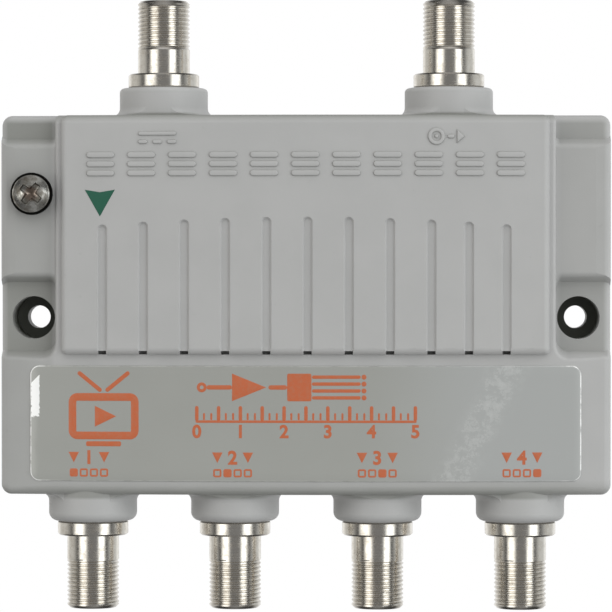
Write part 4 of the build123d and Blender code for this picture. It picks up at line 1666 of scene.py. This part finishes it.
@dataclass
class CastMarks:
    """Plain raised marks on the block: three rows of short bars, and a sign under each input port."""

    relief: Relief = Relief(0.28 * MM, 0.22 * MM, 0.1 * MM)
    bar_width: float = 5.15 * MM
    bar_height: float = 1.1 * MM
    rows: tuple[float, ...] = (29.5 * MM, 27.85 * MM, 26.2 * MM)
    first_x: float = -37.05 * MM
    pitch: float = 7.43 * MM
    count: int = 11
    power_sign: Point = (-26.7 * MM, 32.6 * MM)
    signal_sign: Point = (25.7 * MM, 32.8 * MM)
    sign_width: float = 7.0 * MM
    line: float = 0.75 * MM
    dash: float = 1.75 * MM
    dash_pitch: float = 2.625 * MM
    ring: float = 3.15 * MM
    head_x: float = 1.75 * MM
    head_length: float = 1.5 * MM
    head_half: float = 1.275 * MM

    def build(self, finish: bpy.types.Material, depth: float) -> bpy.types.Object:
        """Makes the bars and signs as one piece.

        Args:
            finish: The housing's material.
            depth: The block's depth on the centre line.

        Returns:
            The piece.
        """
        marks = Marks("cast_marks", depth, self.relief)
        for i in range(self.count):
            x = self.first_x + i * self.pitch
            for z in self.rows:
                marks.bar(x, z, self.bar_width, self.bar_height, self.bar_height / 2)
        self.direct_current(marks, *self.power_sign)
        self.signal_in(marks, *self.signal_sign)
        return marks.build(finish, "housing_paint", sharp=60.0)

    def direct_current(self, marks: Marks, x: float, z: float) -> None:
        """Draws the sign for direct current, a line over three dashes.

        Args:
            marks: What it is drawn in.
            x: Its centre's X.
            z: Its centre's Z.
        """
        marks.bar(x, z + self.line, self.sign_width, self.line, self.line / 2)
        for i in (-1, 0, 1):
            marks.bar(x + i * self.dash_pitch, z - self.line, self.dash, self.line, self.line / 2)

    def signal_in(self, marks: Marks, x: float, z: float) -> None:
        """Draws a socket's ring with its pin, and an arrow from it.

        Args:
            marks: What it is drawn in.
            x: The sign's centre's X.
            z: Its centre's Z.
        """
        left = x - self.sign_width / 2
        socket = left + self.ring / 2
        marks.frame(socket, z, self.ring, self.ring, self.ring / 2, self.line)
        marks.bar(socket, z, self.line, self.line, self.line / 2)
        head = x + self.head_x
        marks.stroke((left + self.ring + self.line, z), (head - self.line, z), self.line)
        marks.polygon(((head + self.head_length, z), (head, z + self.head_half), (head, z - self.head_half)))


@dataclass
class PointerMark:
    """The green pointer over the first flute: a triangle on its tip, with a shallow notch in its top."""

    relief: Relief = Relief(0.04 * MM, 0.03 * MM, 0.05 * MM)
    x: float = -37.15 * MM
    top: float = 23.2 * MM
    tip: float = 18.35 * MM
    half_width: float = 2.75 * MM
    notch: float = 0.45 * MM

    def build(self, finish: bpy.types.Material, depth: float) -> bpy.types.Object:
        """Makes the pointer.

        Args:
            finish: Its material.
            depth: The block's depth on the centre line.

        Returns:
            The piece.
        """
        marks = Marks("pointer_mark", depth, self.relief)
        left, right = self.x - self.half_width, self.x + self.half_width
        marks.polygon(((self.x, self.tip), (right, self.top), (self.x, self.top - self.notch),
                       (left, self.top)))
        return marks.build(finish, "label_clear")


# Studio


@dataclass(frozen=True)
class Lobe:
    """A round soft light in the surround, brightest in its middle.

    Its bearing is in degrees to the right of the camera, and its lift in degrees above the level.
    """

    bearing: float
    lift: float
    half_width: float
    strength: float
    colour: Colour = (1.0, 1.0, 1.0)

    def direction(self) -> Place:
        """The direction of its middle, seen from the object.

        Returns:
            A unit vector.
        """
        bearing, lift = math.radians(self.bearing), math.radians(self.lift)
        return (math.sin(bearing) * math.cos(lift), -math.cos(bearing) * math.cos(lift), math.sin(lift))

    def light(self, tree: NodeTree, towards: bpy.types.NodeSocket) -> bpy.types.NodeSocket:
        """Its light by the cosine of the angle from its middle.

        Args:
            tree: The surround's node tree.
            towards: The direction looked in.

        Returns:
            The light, as a colour.
        """
        dot = tree.add("VectorMath", {"operation": "DOT_PRODUCT"}, i0=towards, i1=self.direction())
        edge = math.cos(math.radians(self.half_width))
        scaled = tuple(self.strength * value for value in self.colour)
        return tree.mix(tree.ramp(dot.outputs["Value"], edge, 1.0, smooth=True), (0.0, 0.0, 0.0), scaled)


WARM: Colour = (1.0, 0.995, 0.955)
COOL: Colour = (0.975, 1.0, 0.995)


@dataclass
class Studio:
    """The camera at the photograph's viewing angle, a surround of soft lights, and a pale floor well below.

    Reflections see the mirrored lobes instead of the others, so that the ports show the photograph's bright
    strips.
    """

    camera_place: Place = (14.5 * MM, -609.6 * MM, 8.3 * MM)
    aim: Place = (-0.04 * MM, -9.6 * MM, 2.04 * MM)
    scale_mm_per_pixel: float = 0.184
    sensor: float = 36.0
    near: float = 0.01
    floor_level: float = -1.2
    floor_radius: float = 10.0
    floor_rings: int = 9
    floor_spokes: int = 65
    ambient: Colour = (0.05, 0.05, 0.05)
    mirrored: tuple[Lobe, ...] = (
        Lobe(0, 0, 75, 0.16), Lobe(-41, 0, 24, 1.9, WARM), Lobe(43, 0, 20, 2.3, COOL),
        Lobe(-115, 0, 50, 0.6, WARM), Lobe(115, 0, 50, 0.65, COOL), Lobe(0, 65, 45, 0.5),
        Lobe(0, -65, 45, 0.25), Lobe(180, 0, 60, 0.9))
    lobes: tuple[Lobe, ...] = (
        Lobe(-75, 0, 32, 1.0, WARM), Lobe(-50, 0, 28, 0.95, WARM), Lobe(-25, 0, 28, 0.2, WARM),
        Lobe(25, 0, 28, 1.0, COOL), Lobe(50, 0, 28, 1.65, COOL), Lobe(75, 0, 32, 1.6, COOL),
        Lobe(-60, 42, 35, 1.15, WARM), Lobe(0, 42, 35, 1.5), Lobe(60, 42, 35, 1.5, COOL),
        Lobe(-60, -42, 35, 0.35, WARM), Lobe(0, -42, 35, 0.45), Lobe(60, -42, 35, 1.05, COOL),
        Lobe(0, 90, 40, 0.9), Lobe(0, -90, 40, 0.2), Lobe(-115, 0, 40, 0.7, WARM),
        Lobe(115, 0, 40, 0.9, COOL), Lobe(180, 0, 50, 1.1))

    def camera(self) -> bpy.types.Object:
        """The camera. Its lens gives the photograph's scale at the aim: distance over scale, in pixels.

        Returns:
            The camera.
        """
        data = bpy.data.cameras.new("camera")
        made = bpy.data.objects.new("camera", data)
        reach = Vector(self.aim) - Vector(self.camera_place)
        data.sensor_width = self.sensor
        data.lens = reach.length / (self.scale_mm_per_pixel * MM) * self.sensor / PHOTO_SIZE
        data.clip_start = self.near
        made.location = self.camera_place
        made.rotation_euler = reach.to_track_quat("-Z", "Y").to_euler()
        bpy.context.scene.collection.objects.link(made)
        bpy.context.scene.camera = made
        return made

    def total(self, tree: NodeTree, lobes: tuple[Lobe, ...]) -> bpy.types.NodeSocket:
        """The ambient light and the lobes, added up.

        Args:
            tree: The surround's node tree.
            lobes: The lobes.

        Returns:
            The light, as a colour.
        """
        towards = tree.add("TexCoord").outputs["Generated"]
        total = tree.add("CombineXYZ", X=self.ambient[0], Y=self.ambient[1], Z=self.ambient[2]).outputs[0]
        for lobe in lobes:
            added = tree.add("VectorMath", {"operation": "ADD"}, i0=total, i1=lobe.light(tree, towards))
            total = added.outputs[0]
        return total

    def surround(self) -> None:
        """Makes the surround: white for the camera, and its own lobes for reflections and for the rest."""
        world = bpy.data.worlds.new("surround")
        world.use_nodes = True
        world.node_tree.nodes.clear()
        tree = NodeTree(world.node_tree)
        seen = tree.add("LightPath")
        light, mirrored = self.total(tree, self.lobes), self.total(tree, self.mirrored)
        glow = tree.mix(seen.outputs["Is Glossy Ray"], light, mirrored)
        colour = tree.mix(seen.outputs["Is Camera Ray"], glow, (1.0, 1.0, 1.0))
        background = tree.add("Background", Color=colour)
        tree.add("OutputWorld", Surface=background.outputs[0])
        bpy.context.scene.world = world

    def floor(self) -> bpy.types.Object:
        """A flat disc under the object. Only the camera sees it, so it neither shades nor lights the object.

        Returns:
            The floor.
        """
        radius, angle = np.meshgrid(np.linspace(0, self.floor_radius, self.floor_rings),
                                    np.linspace(0, 2 * math.pi, self.floor_spokes), indexing="ij")
        level = np.full(radius.shape, self.floor_level)
        mesh = grid_mesh("floor", np.stack((radius * np.cos(angle), radius * np.sin(angle), level), axis=-1))
        mesh.materials.append(FLOOR_PAINT.material())
        made = bpy.data.objects.new("floor", mesh)
        made.visible_diffuse = made.visible_glossy = made.visible_transmission = made.visible_shadow = False
        bpy.context.scene.collection.objects.link(made)
        return made

    def build(self) -> None:
        """Sets up the camera, the surround and the floor."""
        self.camera()
        self.surround()
        self.floor()
        bpy.context.scene.view_settings.view_transform = "Standard"


class CarriedNodes:
    """The CAD nodes that stay as they are, each in the finish of its record slot."""

    def dress(self) -> dict[str, bpy.types.Material]:
        """Gives every node its finish.

        Returns:
            The materials by slot.
        """
        materials = {slot: finish.material() for slot, finish in FINISHES.items()}
        for name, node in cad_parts.items():
            slot = node.data.materials[0].name.split(".")[0]
            node.material_slots[0].material = materials[slot]
            log.info("%s: CAD node in %s", name, slot)
        return materials


def main() -> None:
    """Builds the studio, dresses the frame and adds the pieces."""
    logging.basicConfig(level=logging.INFO, format="%(message)s")
    Studio().build()
    materials = CarriedNodes().dress()
    for name in PORT_NAMES:
        Port(name).build(materials["nickel"])
    GroundScrew().build(SCREW_HEAD.material())
    CoverScrews().build(materials["screw_steel"])
    block_depth = -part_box("housing")[0].y
    LabelFilm().build(materials["label_clear"])
    LabelPrint().build(ORANGE_INK.material())
    CastMarks().build(materials["housing_paint"], block_depth)
    PointerMark().build(GREEN_INK.material(), block_depth)


if __name__ == "__main__":
    main()
